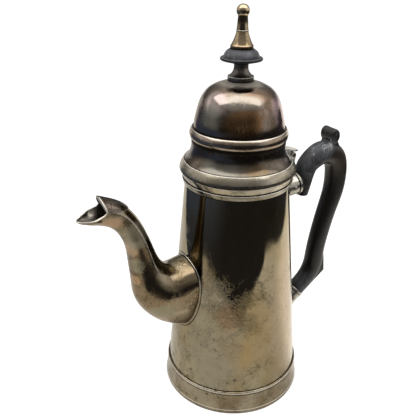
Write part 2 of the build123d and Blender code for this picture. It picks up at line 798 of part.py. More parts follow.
# Hinge behind the lid. Its axis runs along Y.
hinge_x = rim_r + HINGE_OUT
hinge_z = MOUTH_Z + HINGE_UP
leaf_off = KNUCKLE_R + HINGE_GAP
bracket_half_w = MID_KNUCKLE_W / 2 + HINGE_GAP + SIDE_KNUCKLE_W


def leaf_point(along, off, opened=0):
    """Side-view point along the lid's leaf and off the axis, with the lid opened by some degrees."""
    angle = radians(LEAF_DIP + opened)
    return (
        hinge_x + along * cos(angle) + off * sin(angle),
        hinge_z - along * sin(angle) + off * cos(angle),
    )


hinge_plane = Plane(origin=(hinge_x, 0, hinge_z), x_dir=(1, 0, 0), z_dir=(0, 1, 0))
with BuildPart() as hinge_body_leaf:
    back_top = leaf_point(0, KNUCKLE_R, LID_OPENS)
    back_low = leaf_point(BRACKET_L, KNUCKLE_R, LID_OPENS)
    with BuildSketch(Plane.XZ):
        with BuildLine():
            Polyline(
                back_top,
                back_low,
                (MOUTH_R - WALL, back_low[1]),
                (MOUTH_R - WALL, MOUTH_Z - LID_GAP),
                (hinge_x - KNUCKLE_R, MOUTH_Z - LID_GAP),
                (hinge_x - KNUCKLE_R, hinge_z),
                (hinge_x, hinge_z),
                close=True,
            )
        make_face()
        with Locations((hinge_x, hinge_z)):
            Circle(KNUCKLE_R)
    extrude(amount=bracket_half_w, both=True)
    with BuildSketch(hinge_plane):
        Circle(PIN_R)
    extrude(amount=bracket_half_w, both=True, mode=Mode.SUBTRACT)
    # Slot for the middle knuckle
    with BuildSketch(hinge_plane):
        Rectangle(2 * SLOT_REACH, 2 * leaf_off)
    extrude(amount=MID_KNUCKLE_W / 2 + HINGE_GAP, both=True, mode=Mode.SUBTRACT)
    for soldered in (wall_room, upper_moulding, lower_moulding):
        add(soldered.part, mode=Mode.SUBTRACT)
save(hinge_body_leaf, "hinge_body_leaf")

with BuildPart() as hinge_pin:
    with BuildSketch(hinge_plane):
        Circle(PIN_R)
    extrude(amount=bracket_half_w, both=True)
    for side in (1, -1):
        with BuildSketch(hinge_plane.offset(side * bracket_half_w)):
            Circle(PIN_HEAD_R)
        extrude(amount=side * PIN_HEAD_T)
save(hinge_pin, "hinge_pin")

with BuildPart() as hinge_lid_leaf:
    # Strap and tail in one plate, which narrows towards the tip of the tail
    leaf_middle = leaf_point(0, leaf_off)
    with BuildSketch(
        Plane(
            origin=(leaf_middle[0], 0, leaf_middle[1]),
            x_dir=(cos(radians(LEAF_DIP)), 0, -sin(radians(LEAF_DIP))),
            z_dir=(sin(radians(LEAF_DIP)), 0, cos(radians(LEAF_DIP))),
        )
    ):
        with BuildLine():
            Polyline(
                (-STRAP_REACH, LEAF_W / 2),
                (TAIL_START, LEAF_W / 2),
                (TAIL_REACH, TAIL_TIP_W / 2),
                (TAIL_REACH, -TAIL_TIP_W / 2),
                (TAIL_START, -LEAF_W / 2),
                (-STRAP_REACH, -LEAF_W / 2),
                close=True,
            )
        make_face()
    extrude(amount=LEAF_T)
    # Block that carries the strap on the slope of the rim
    with BuildSketch(Plane.XZ):
        with BuildLine():
            Polyline(
                leaf_point(-STRAP_REACH, leaf_off),
                leaf_point(-STRAP_BLOCK, leaf_off),
                (hinge_x - leaf_off, rim_z + RIM_EDGE_H),
                (cove_foot_r, rim_z + RIM_EDGE_H),
                close=True,
            )
        make_face()
    extrude(amount=LEAF_W / 2, both=True)
    # Middle knuckle and the web that joins it to the plate
    with BuildSketch(hinge_plane):
        Circle(KNUCKLE_R)
    extrude(amount=MID_KNUCKLE_W / 2, both=True)
    with BuildSketch(Plane.XZ):
        with BuildLine():
            Polyline(
                leaf_point(-LEAF_WEB / 2, 0),
                leaf_point(-LEAF_WEB / 2, leaf_off + LEAF_T / 2),
                leaf_point(LEAF_WEB / 2, leaf_off + LEAF_T / 2),
                leaf_point(LEAF_WEB / 2, 0),
                close=True,
            )
        make_face()
    extrude(amount=MID_KNUCKLE_W / 2, both=True)
    with BuildSketch(hinge_plane):
        Circle(PIN_R + PIN_CLEARANCE)
    extrude(amount=MID_KNUCKLE_W, both=True, mode=Mode.SUBTRACT)
    add(lid_rim.part, mode=Mode.SUBTRACT)
    add(cove_form(), mode=Mode.SUBTRACT)
save(hinge_lid_leaf, "hinge_lid_leaf")
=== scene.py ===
import math

import bmesh
import bpy
import numpy as np
from mathutils import Matrix, Vector


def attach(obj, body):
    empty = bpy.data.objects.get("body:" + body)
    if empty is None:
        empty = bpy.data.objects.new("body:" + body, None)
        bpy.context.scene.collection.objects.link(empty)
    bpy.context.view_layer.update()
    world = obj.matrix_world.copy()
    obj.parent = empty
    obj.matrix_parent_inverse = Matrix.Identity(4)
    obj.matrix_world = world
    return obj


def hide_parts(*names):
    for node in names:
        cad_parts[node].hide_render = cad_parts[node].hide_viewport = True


bl_info = {
    "name": "Coffee Pot Looks", "version": (1, 0, 0), "blender": (4, 5, 0),
    "location": "View3D > Sidebar > Coffee Pot",
    "description": "Dresses a packed silver-plated coffee pot with fine surfaces and worn finishes",
    "category": "Object"}

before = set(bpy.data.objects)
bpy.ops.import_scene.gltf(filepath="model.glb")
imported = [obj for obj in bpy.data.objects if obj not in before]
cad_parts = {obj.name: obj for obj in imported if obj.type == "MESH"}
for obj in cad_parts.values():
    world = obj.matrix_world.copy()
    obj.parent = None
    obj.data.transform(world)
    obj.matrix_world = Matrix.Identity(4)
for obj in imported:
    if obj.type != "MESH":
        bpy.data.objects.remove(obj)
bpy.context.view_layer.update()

# Lengths below are in millimetres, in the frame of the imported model; put() turns them into metres
MM = 0.001


def aimed(out, up, tilt, far):
    """Point at a distance from (out, up) in the handle's plane, along a tilt in degrees."""
    return out + far * math.cos(math.radians(tilt)), 0.0, up + far * math.sin(math.radians(tilt))


# Body
MOUTH_Z, BASE_R, MOUTH_R, WALL = 167.0, 48.9, 34.1, 0.9
FOOT_H, FOOT_T, FOOT_ROLL, FOOT_ROLL_H = 18.2, 0.8, 0.5, 2.4
FOOT_LIP_R, FOOT_LIP_H, FOOT_LEDGE_T, FOOT_LEDGE_W = 50.0, 3.2, 1.0, 2.6
UPPER_BAND_H, UPPER_BAND_PROUD = 4.7, 2.9
LOWER_BAND_H, LOWER_BAND_PROUD = 3.7, 2.0
BAND_SEAM_Z = MOUTH_Z - UPPER_BAND_H
HOLE_R, HOLE_PITCH, SPOUT_Z = 1.5, 4.4, 83.0

# Lid and knob
RIM_Z = 167.3
COVE_Z, BEAD_Z, EYE_Z = RIM_Z + 7.0, RIM_Z + 21.3, RIM_Z + 57.0
RIM_R, RIM_EDGE_H, RIM_TOP_R, RIM_BEVEL = 38.2, 1.9, 35.4, 0.6
COVE_FOOT_R, COVE_TOP_R, COVE_NECK_H = 35.0, 30.4, 4.0
BEAD_R, BEAD_H, DOME_R, DOME_H, DOME_EYE_R = 31.7, 6.8, 29.0, 35.7, 8.4
BEZEL_R, BEZEL_DEPTH, BEZEL_TAPER, BEZEL_HOLD = 32.6, 6.4, 0.6, 2.2
DISC_Z = EYE_Z + 10.4
SPIRE_Z = DISC_Z + 8.6
BORE_R = 1.6
LID_WALL = 0.9
# Dome: shares of its radius and of its height
DOME_SHOULDER = np.array(
    [(1.0, 0.0), (1.0, BEAD_H / DOME_H / 2), (1.0, BEAD_H / DOME_H), (0.985, 0.31), (0.95, 0.436),
     (0.905, 0.575), (0.84, 0.71), (0.745, 0.822), (0.625, 0.898), (0.46, 0.955),
     (DOME_EYE_R / DOME_R, 0.996)])
KNOB_FOOT_R, KNOB_WAIST_R, DISC_R, DISC_SEAT_R = 8.2, 4.5, 13.1, 5.2
SPIRE_R, SPIRE_RING_R, SPIRE_NECK_R, BALL_R, STUD_R = 7.1, 3.65, 2.85, 3.95, 1.5
KNOB_STEPS = 128

# Hinge
HINGE_X, HINGE_Z, LEAF_DIP = 41.2, 170.8, 16.0
# Plan of the strap and tail, along the leaf and across the pot
LEAF_PLAN = np.array([(-7.4, 4.9), (0.6, 4.9), (3.6, 2.9), (6.0, 1.3), (6.0, -1.3), (3.6, -2.9),
                      (0.6, -4.9), (-7.4, -4.9)])
# Section of the leaf: distance off the hinge's axis and share of the plan's size
LEAF_SECTION = ((2.3, 0.95), (2.4, 1.0), (3.45, 1.0), (3.62, 0.975), (3.7, 0.93))

# Spout stations: crest (out, up), keel (out, up), half width and crease share. Out is measured from
# the wall at SPOUT_Z
SPOUT_STATIONS = np.array(
    [
        (-8.0, 28.0, -8.0, -24.0, 16.6, 0.28),
        (0.0, 26.6, 1.6, -23.8, 16.4, 0.28),
        (6.2, 25.2, 18.3, -16.0, 15.4, 0.28),
        (10.5, 25.6, 32.6, 1.0, 13.2, 0.28),
        (14.6, 28.8, 36.0, 17.0, 10.6, 0.28),
        (18.3, 35.2, 37.2, 31.0, 8.7, 0.28),
        (22.0, 45.6, 38.2, 41.5, 7.9, 0.28),
        (25.8, 55.4, 40.2, 49.8, 7.6, 0.28),
        (30.2, 64.3, 43.8, 56.8, 7.6, 0.28),
        (36.2, 72.4, 48.2, 61.3, 7.8, 0.28),
        (43.0, 77.6, 52.6, 63.6, 8.0, 0.30),
        (50.0, 80.8, 56.4, 64.9, 8.3, 0.38),
        (55.0, 82.2, 59.6, 66.0, 8.8, 0.55),
        (59.5, 79.5, 62.4, 66.9, 6.9, 0.65),
        (63.5, 75.5, 65.0, 67.6, 4.8, 0.65),
        (66.3, 72.8, 67.2, 68.6, 2.6, 0.65),
        (68.0, 71.3, 68.5, 69.8, 0.8, 0.60),
    ]
)
BEAK_EDGE = np.array([(53.0, 73.2), (57.5, 71.6), (62.5, 70.6), (67.0, 69.8), (70.0, 69.6)])
HOOD_TIP = (54.1, 82.4)
# Where the corner of the mouth lies on the crease
CORNER_OUT = 51.4
# Stations where the hood's rear edge meets the crest and the crease
HOOD_REAR, HOOD_SIDE = 9.0, 10.0
TIP_STATION = 15.55
SPOUT_SHEET, HOOD_SHEET = 0.9, 0.66
SHEET_EDGE = 48  # degrees past which a sheet's edge stays sharp
# Flange across its strip: distance out from the root and height over the wall
FLANGE_SECTION = np.array([(-0.5, -0.25), (-0.5, 0.5), (0.3, 0.48), (0.8, 0.45), (1.35, 0.36),
                           (1.5, 0.08), (2.1, 0.04), (2.1, -0.25)])

# Sockets: height at the wall, tilt in degrees, mouth radius, reach
SOCKETS = {"upper": (145.5, 6.3, 7.6, 13.6), "lower": (44.2, 42.0, 6.5, 16.6)}
# Ends of the handle at the two sockets
HANDLE_HEAD = aimed(36.01, 145.5, 6.3, 13.9)
HANDLE_FOOT = aimed(45.045, 43.5, 42.0, 13.3)
SOCKET_WALL, SOCKET_LIP, SOCKET_LIP_T, SOCKET_FLARE = 0.9, 0.8, 1.8, 0.5
RIVET_AT, RIVET_R, RIVET_HEAD_R, RIVET_HEAD_T = 0.55, 1.1, 1.9, 0.6

# Handle stations: share of the rise between the sockets' mouths, out, heading in degrees, half
# thickness and half width
HANDLE_STATIONS = np.array(
    [
        (0.905, 3.6, 88, 4.0, 6.3),
        (0.989, 5.0, 85, 5.0, 7.1),
        (1.093, 7.3, 73, 6.4, 7.2),
        (1.147, 10.9, 47, 7.0, 7.2),
        (1.184, 15.9, 27, 7.6, 7.4),
        (1.204, 23.0, 5, 8.2, 7.5),
        (1.172, 31.4, -40, 8.0, 7.5),
        (1.064, 35.4, -80, 7.6, 7.4),
        (0.894, 34.6, -96, 7.2, 7.2),
        (0.744, 30.3, -105, 6.6, 6.9),
        (0.558, 24.8, -102, 6.5, 6.6),
        (0.362, 20.4, -97, 6.5, 6.5),
        (0.240, 18.6, -105, 7.0, 6.5),
        (0.135, 13.5, -128, 6.8, 6.4),
        (0.053, 5.3, -138, 6.4, 6.3),
        (0.0, 0.0, -138, 6.3, 6.3),
    ]
)
SCROLL_PLACE, SCROLL_DEEP, SCROLL_TALL = (1.338, 28.2), 3.8, 5.2
# Scroll's ends, hollowed round a small boss: place across the pot and share of the full size
SCROLL_ENDS = np.array([(-6.7, 0.0), (-6.7, 0.16), (-6.2, 0.22), (-6.2, 0.34), (-6.7, 0.46),
                        (-6.5, 0.93), (-5.0, 1.0), (0.0, 0.97), (5.0, 1.0), (6.5, 0.93),
                        (6.7, 0.46), (6.2, 0.34), (6.2, 0.22), (6.7, 0.16), (6.7, 0.0)])
SCROLL_NECK = [(1.31, 25.9), (1.31, 30.5), (1.215, 34.8), (1.12, 31.0), (1.22, 21.5)]
SCROLL_NECK_W = 11.0
SPUR = [(0.36, 25.6), (0.27, 26.5), (0.163, 27.2), (-0.022, 4.6), (0.03, 3.0), (0.24, 18.0)]
SPUR_W = 9.0

# Camera, at the photograph's angle, in metres, and the turn that points -Y to it
CAMERA_RIGHT, CAMERA_UP, CAMERA_AHEAD = (
    (0.87737151, -0.47966646, 0.01180364), (0.19802218, 0.38439651, 0.90167984),
    (0.43704286, 0.78877082, -0.43224314))
CAMERA_PLACE, CAMERA_LENS, CAMERA_SENSOR = (-0.17953665, -0.28731869, 0.2981), 47.142, 36.0
FRONT_TURN = math.radians(32)
LAMP_AIM = (0, 0, 0.12)
# Edge of the table that metal shows: degrees from the front and millimetres from the pot
TABLE_EDGE = ((-150, 500), (-128, 392), (-106, 284), (-85, 248), (-68, 256), (-58, 322), (-49, 300),
              (-29, 262), (-8, 222), (11, 196), (33, 244), (54, 303), (66, 350), (97, 332),
              (117, 372), (131, 450), (150, 500))
TABLE_REACH = 500


def wall_radius(z):
    """Outer radius of the tapered wall. It falls evenly from the base to the mouth."""
    return BASE_R + (MOUTH_R - BASE_R) * z / MOUTH_Z


# Curves


def track(values, at):
    """Natural cubic spline through values at 0, 1, 2 and so on. The second differences solve a
    tridiagonal system, and each span is the cubic that has them at its two ends."""
    values = np.asarray(values, float).reshape(len(values), -1)
    n = len(values)
    system = 4 * np.eye(n) + np.eye(n, k=1) + np.eye(n, k=-1)
    system[[0, -1]] = 0
    system[0, 0] = system[-1, -1] = 1
    pull = np.zeros_like(values)
    pull[1:-1] = 6 * (values[2:] - 2 * values[1:-1] + values[:-2])
    bow = np.linalg.solve(system, pull)
    at = np.clip(np.asarray(at, float), 0, n - 1)
    i = np.clip(at.astype(int), 0, n - 2)
    u = (at - i)[..., None]
    flat = values[i] * (1 - u) + values[i + 1] * u
    return flat + (((1 - u) ** 3 - (1 - u)) * bow[i] + (u**3 - u) * bow[i + 1]) / 6


def bend(start, through, end, steps=14):
    """Points on the circle through three points. The centre is where the perpendicular bisectors
    meet, and the angle runs evenly from the first point past the second to the third."""
    (ax, ay), (bx, by), (cx, cy) = start, through, end
    d = 2 * (ax * (by - cy) + bx * (cy - ay) + cx * (ay - by))
    a2, b2, c2 = ax * ax + ay * ay, bx * bx + by * by, cx * cx + cy * cy
    ux = (a2 * (by - cy) + b2 * (cy - ay) + c2 * (ay - by)) / d
    uy = (a2 * (cx - bx) + b2 * (ax - cx) + c2 * (bx - ax)) / d
    turn = 1 if (bx - ax) * (cy - by) - (by - ay) * (cx - bx) > 0 else -1
    first = math.atan2(ay - uy, ax - ux)
    sweep = turn * ((turn * (math.atan2(cy - uy, cx - ux) - first)) % (2 * math.pi))
    angle = first + sweep * np.linspace(0, 1, steps + 1)
    radius = math.hypot(ax - ux, ay - uy)
    return np.stack([ux + radius * np.cos(angle), uy + radius * np.sin(angle)], 1)


def leave(start, heading, end, steps=14):
    """Arc that leaves start along heading and ends at end. Its centre lies square to the heading,
    at the distance where both points are equally far from it."""
    start, end = np.array(start, float), np.array(end, float)
    side = np.array([-heading[1], heading[0]], float) / math.hypot(*heading)
    chord = end - start
    centre = start + side * (chord @ chord) / (2 * side @ chord)
    middle = (start + end) / 2 - centre
    middle = centre + middle * np.linalg.norm(start - centre) / np.linalg.norm(middle)
    return bend(tuple(start), tuple(middle), tuple(end), steps)


def outline(*parts):
    """Points and runs of points in one array, with neighbours that coincide taken once."""
    points = np.vstack([np.atleast_2d(np.array(part, float)) for part in parts])
    gap = np.linalg.norm(points - np.roll(points, 1, 0), axis=1)
    gap[0] = max(gap[0], 1e-3) if np.linalg.norm(points[0] - points[-1]) > 1e-6 else gap[0]
    return points[gap > 1e-6]


def soften(points, radius, closed=True):
    """Rounds each sharp corner of an outline. The corner gives way to a quadratic curve that starts
    and ends a cut before and after it, and guard points keep what lies beyond it flat."""
    before = points - np.roll(points, 1, 0)
    after = np.roll(points, -1, 0) - points
    len_in = np.linalg.norm(before, axis=1)
    len_out = np.linalg.norm(after, axis=1)
    into = before / len_in[:, None]
    out = after / len_out[:, None]
    turn = np.degrees(np.arccos(np.clip((into * out).sum(1), -1, 1)))
    sharp = turn > 24
    if not closed:
        sharp[[0, -1]] = False
    cut = np.minimum(radius, 0.42 * np.minimum(len_in, len_out))[:, None]
    guard_in = np.minimum(cut * 2.2, 0.49 * len_in[:, None])
    guard_out = np.minimum(cut * 2.2, 0.49 * len_out[:, None])
    start, end = points - into * cut, points + out * cut
    s = np.linspace(0, 1, 5)[None, :, None]
    curve = (1 - s) ** 2 * start[:, None] + 2 * s * (1 - s) * points[:, None] + s**2 * end[:, None]
    rows = np.concatenate(
        [(points - into * guard_in)[:, None], curve, (points + out * guard_out)[:, None]], 1)
    rows[~sharp, 3] = points[~sharp]
    keep = np.repeat(sharp[:, None], 7, 1)
    keep[:, 3] = True
    return rows[keep]


# Meshes


def circle(count):
    """Angles in equal steps all the way round."""
    return np.linspace(0, 2 * np.pi, count, endpoint=False)


def spots(x, y, z):
    """Points from three arrays that are stretched to one shape."""
    return np.stack(np.broadcast_arrays(x, y, z), -1)


def cells(rows, cols, wrap_rows=False, wrap_cols=False):
    """Corner numbers of the quads of a grid, which may close on itself either way."""
    r = np.arange(rows if wrap_rows else rows - 1)[:, None]
    c = np.arange(cols if wrap_cols else cols - 1)[None, :]
    r2, c2 = (r + 1) % rows, (c + 1) % cols
    corners = [r * cols + c, r * cols + c2, r2 * cols + c2, r2 * cols + c]
    return np.stack([q.ravel() for q in np.broadcast_arrays(*corners)], 1)


def weld(grids):
    """One set of points and faces from several grids. Points in the same place become one, which
    closes seams and poles, and a quad that loses a corner becomes a triangle. A grid may bring
    marks, two numbers a point: how rubbed it is, which on some pieces also carries a painted
    highlight, and how much grime with painted shade lies on it."""
    points, quads, marks, start = [], [], [], 0
    for grid, wrap_rows, wrap_cols, *mark in grids:
        rows, cols = grid.shape[:2]
        points.append(grid.reshape(-1, 3))
        mark = mark[0] if mark else np.zeros((rows, cols, 2))
        marks.append(np.broadcast_to(mark, (rows, cols, 2)).reshape(-1, 2))
        quads.append(cells(rows, cols, wrap_rows, wrap_cols) + start)
        start += rows * cols
    points, quads = np.concatenate(points), np.concatenate(quads)
    key = np.round(points * 2000).astype(np.int64)
    _, first, place = np.unique(key, axis=0, return_index=True, return_inverse=True)
    quads = place.reshape(-1)[quads]
    new = quads != np.roll(quads, 1, 1)
    count = new.sum(1)
    tris = quads[count == 3][new[count == 3]].reshape(-1, 3)
    tris = tris[(tris != np.roll(tris, 1, 1)).all(1)]
    faces = [*tris.tolist(), *quads[count == 4].tolist()]
    return points[first], faces, np.concatenate(marks)[first]


def put(name, grids, body, nodes, sharp=32):
    """Makes a piece from grids in millimetres, rides it on its body and hides the CAD nodes that it
    stands for. On a closed form the faces are turned outwards."""
    points, faces, marks = weld(grids)
    mesh = bpy.data.meshes.new(name)
    mesh.from_pydata(points * MM, [], faces)
    # The second mark is grime with painted shade along the seams
    for number, label in enumerate(("rubbed", "grimy_and_shaded")):
        mark = mesh.attributes.new(label, "FLOAT", "POINT")
        mark.data.foreach_set("value", np.ascontiguousarray(marks[:, number], np.float32))
    shape = bmesh.new()
    shape.from_mesh(mesh)
    bmesh.ops.recalc_face_normals(shape, faces=shape.faces)
    shape.to_mesh(mesh)
    shape.free()
    mesh.update()
    mesh.shade_smooth()
    mesh.set_sharp_from_angle(angle=math.radians(sharp))
    piece = bpy.data.objects.new(name, mesh)
    bpy.context.scene.collection.objects.link(piece)
    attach(piece, body)
    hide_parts(*nodes)
    return piece


def settle(piece):
    """Applies a piece's modifiers, so that its mesh is what they make."""
    bpy.context.view_layer.update()
    graph = bpy.context.evaluated_depsgraph_get()
    mesh = bpy.data.meshes.new_from_object(piece.evaluated_get(graph))
    piece.modifiers.clear()
    piece.data = mesh
    mesh.name = piece.name
    mesh.shade_smooth()


def turned(profile, around=192, dent=None):
    """Grid of a turned form: each profile point (r, z) goes round Z in equal steps. dent is
    a function of angle and height that gives how far the skin is pushed in."""
    angle = circle(around)[None, :]
    r, z = profile[:, :1], profile[:, 1:]
    depth = 0 if dent is None else dent(angle, z)
    radius = r - depth
    return spots(radius * np.cos(angle), radius * np.sin(angle), z + 0 * angle)


def marked(line, edges, seams):
    """Marks for the points of a profile. Wear fades out from each edge, and grime with painted
    shade from each seam, both given as a point (r, z) and the distance reached."""
    mark = np.zeros((len(line), 1, 2))
    for number, spots in enumerate((edges, seams)):
        for r, z, reach in spots:
            away = np.hypot(line[:, 0] - r, line[:, 1] - z)
            mark[:, 0, number] = np.maximum(mark[:, 0, number], np.clip(1.3 - away / reach, 0, 1))
    return mark


def ring(profile, round_off=0.15, around=192, dent=None, edges=(), seams=()):
    """A closed profile beside the axis, with its corners softened and turned about Z."""
    line = soften(outline(*profile), round_off)
    return [(turned(line, around, dent), True, True, marked(line, edges, seams))]


def divide(points, step):
    """Adds points on the straight runs of an outline, so that no run is longer than a step."""
    runs = []
    for here, there in zip(points[:-1], points[1:]):
        count = max(1, int(np.ceil(np.linalg.norm(there - here) / step)))
        runs.append(here + (there - here) * np.linspace(0, 1, count, endpoint=False)[:, None])
    return np.vstack([*runs, points[-1:]])


def crossing(value, at):
    """Where each column of value first changes sign, found by a straight line between its rows."""
    past = (value[1:] > 0) != (value[:1] > 0)
    i = np.argmax(past, 0)
    cols = np.arange(value.shape[1])
    low, high = value[i, cols], value[i + 1, cols]
    share = low / (low - high)
    return at[i] + (at[i + 1] - at[i]) * share


# Node helpers


class Nodes:
    """Adds nodes to a tree."""

    def __init__(self, tree):
        """Keeps the tree that nodes go into."""
        self.tree = tree

    def feed(self, node, inputs):
        """Fills inputs by name or number. A socket is linked and a value is set."""
        for key, value in inputs.items():
            if isinstance(value, bpy.types.NodeSocket):
                self.tree.links.new(value, node.inputs[key])
            else:
                node.inputs[key].default_value = value

    def add(self, kind, inputs=None, **settings):
        """Adds a node, makes its settings and then fills its inputs."""
        node = self.tree.nodes.new(kind)
        for key, value in settings.items():
            setattr(node, key, value)
        self.feed(node, inputs or {})
        return node

    def shared(self, name, inputs):
        """Places a shared node group with its own values."""
        return self.add("ShaderNodeGroup", inputs, node_tree=group(name))

    def mark(self, name):
        """A number stored on the points of a piece."""
        return self.add("ShaderNodeAttribute", attribute_name=name).outputs["Fac"]

    def place(self):
        """Object coordinates, which are metres in the pot's own frame."""
        return self.add("ShaderNodeTexCoord").outputs["Object"]

    def math(self, operation, a, b=0.0, c=0.0):
        """A sum of up to three numbers, named as Blender names it."""
        return self.add("ShaderNodeMath", {0: a, 1: b, 2: c}, operation=operation).outputs[0]

    def times(self, a, b):
        """Product of two numbers."""
        return self.math("MULTIPLY", a, b)

    def spread(self, value, low, high, to_low=0.0, to_high=1.0):
        """Eases a value from one range into another."""
        node = self.add(
            "ShaderNodeMapRange",
            {"Value": value, "From Min": low, "From Max": high, "To Min": to_low,
             "To Max": to_high}, interpolation_type="SMOOTHSTEP")
        return node.outputs[0]

    def mix(self, share, a, b, blend="MIX"):
        """Colour a with a share of colour b laid over it."""
        inputs = {0: share, 6: a, 7: b}
        return self.add("ShaderNodeMix", inputs, data_type="RGBA", blend_type=blend).outputs[2]

    def moved(self, vector, location=(0, 0, 0), scale=(1, 1, 1), rotation=(0, 0, 0), kind="POINT"):
        """Coordinates moved, turned and scaled."""
        node = self.add(
            "ShaderNodeMapping",
            {"Vector": vector, "Location": location, "Rotation": rotation, "Scale": scale},
            vector_type=kind)
        return node.outputs[0]

    def noise(self, vector, scale, detail=4.0, rough=0.55, distortion=0.0):
        """Grey noise; a larger scale makes it finer."""
        node = self.add(
            "ShaderNodeTexNoise",
            {"Vector": vector, "Scale": scale, "Detail": detail, "Roughness": rough,
             "Distortion": distortion})
        return node.outputs[0]

    def near(self, vector, centre, radii):
        """1 at a point of the pot and 0 past the radii round it, in metres."""
        local = self.moved(vector, location=centre, scale=radii, kind="TEXTURE")
        return self.add(
            "ShaderNodeTexGradient", {"Vector": local}, gradient_type="SPHERICAL").outputs[1]


def new_group(name, takes, gives):
    """Node group with named inputs and outputs. Returns its helper, inputs and output node."""
    tree = bpy.data.node_groups.new(name, "ShaderNodeTree")
    for label, kind, value in takes:
        socket = tree.interface.new_socket(label, in_out="INPUT", socket_type=kind)
        if value is not None:
            socket.default_value = value
    for label, kind in gives:
        tree.interface.new_socket(label, in_out="OUTPUT", socket_type=kind)
    nodes = Nodes(tree)
    return nodes, nodes.add("NodeGroupInput").outputs, nodes.add("NodeGroupOutput")


FLOAT, COLOUR, VECTOR = "NodeSocketFloat", "NodeSocketColor", "NodeSocketVector"


def tarnish_group():
    """Old plate: broad stains, fine mottling, dark pinholes and wiping streaks."""
    n, take, give = new_group(
        "Tarnish",
        [("Vector", VECTOR, None), ("Plate", COLOUR, None), ("Stain", COLOUR, None),
         ("Bloom", COLOUR, None), ("Stain Share", FLOAT, 0.5), ("Mottle", FLOAT, 0.5),
         ("Pinholes", FLOAT, 0.3), ("Gloss", FLOAT, 0.1), ("Haze", FLOAT, 0.2)],
        [("Color", COLOUR), ("Roughness", FLOAT), ("Height", FLOAT)])
    at = take["Vector"]
    broad = n.spread(n.noise(at, 24, 5, 0.6, 0.6), 0.40, 0.66)
    drift = n.spread(n.noise(at, 11, 3, 0.5, 0.3), 0.35, 0.70)
    speckle = n.spread(n.noise(at, 900, 5, 0.75), 0.42, 0.62)
    cloud = n.spread(n.noise(at, 95, 5, 0.65, 0.4), 0.38, 0.66)
    streak = n.spread(n.noise(n.moved(at, scale=(1, 1, 0.12)), 130, 4, 0.6), 0.40, 0.70)
    # Pinholes are small, of random size, and gather where the stain is
    holes = n.add("ShaderNodeTexVoronoi", {"Vector": at, "Scale": 190.0, "Randomness": 1.0})
    size = n.add("ShaderNodeSeparateColor", {0: holes.outputs["Color"]}).outputs[0]
    rim = n.times(n.spread(size, 0.30, 1.0), 0.40)
    inner = n.times(rim, 0.35)
    dot = n.spread(holes.outputs["Distance"], inner, rim, 1.0, 0.0)
    gather = n.times(n.times(dot, cloud), take["Pinholes"])
    stain = n.times(broad, take["Stain Share"])
    fine = n.times(n.times(speckle, cloud), take["Mottle"])
    colour = n.mix(n.times(drift, 0.55), take["Plate"], take["Bloom"])
    colour = n.mix(stain, colour, take["Stain"])
    dull = n.mix(1.0, colour, (0.42, 0.40, 0.38, 1), "MULTIPLY")
    colour = n.mix(fine, colour, dull)
    colour = n.mix(n.times(streak, 0.16), colour, dull)
    blotch = n.spread(n.noise(at, 240, 5, 0.65, 0.5), 0.50, 0.62)
    blotch = n.times(n.times(blotch, cloud), take["Mottle"])
    olive = n.mix(1.0, colour, (0.50, 0.52, 0.36, 1), "MULTIPLY")
    colour = n.mix(n.times(blotch, 0.9), colour, olive)
    colour = n.mix(gather, colour, (0.035, 0.024, 0.015, 1))
    haze = n.math("ADD", n.times(stain, 0.5), n.times(fine, 0.7))
    haze = n.math("ADD", haze, n.times(streak, 0.2))
    rough = n.math("MULTIPLY_ADD", haze, take["Haze"], take["Gloss"])
    rough = n.math("MULTIPLY_ADD", gather, 0.3, rough)
    height = n.math("SUBTRACT", n.times(speckle, cloud), gather)
    n.feed(give, {"Color": colour, "Roughness": rough, "Height": height})
    return n.tree


def hammer_group():
    """Slow waves and small dings that old sheet metal picks up, as a height."""
    n, take, give = new_group(
        "Sheet Waves", [("Vector", VECTOR, None), ("Dings", FLOAT, 0.3)], [("Height", FLOAT)])
    slow = n.noise(n.moved(take["Vector"], scale=(1, 1, 0.6)), 26, 2, 0.4)
    ding = n.spread(n.noise(take["Vector"], 70, 2, 0.4), 0.66, 0.80)
    height = n.math("SUBTRACT", slow, n.times(ding, take["Dings"]))
    n.tree.links.new(height, give.inputs["Height"])
    return n.tree


def scratch_group():
    """Fine straight scratches in two directions, as a mask."""
    n, take, give = new_group("Scratches", [("Vector", VECTOR, None)], [("Mask", FLOAT)])
    masks = []
    for turn in ((0.3, 0.5, 0.2), (-0.9, 0.2, 0.7)):
        thin = n.moved(take["Vector"], rotation=turn, scale=(900, 60, 60))
        masks.append(n.spread(n.noise(thin, 1.0, 2, 0.5), 0.64, 0.72))
    both = n.math("MAXIMUM", *masks)
    region = n.spread(n.noise(take["Vector"], 34, 3), 0.45, 0.65)
    n.tree.links.new(n.times(both, region), give.inputs["Mask"])
    return n.tree


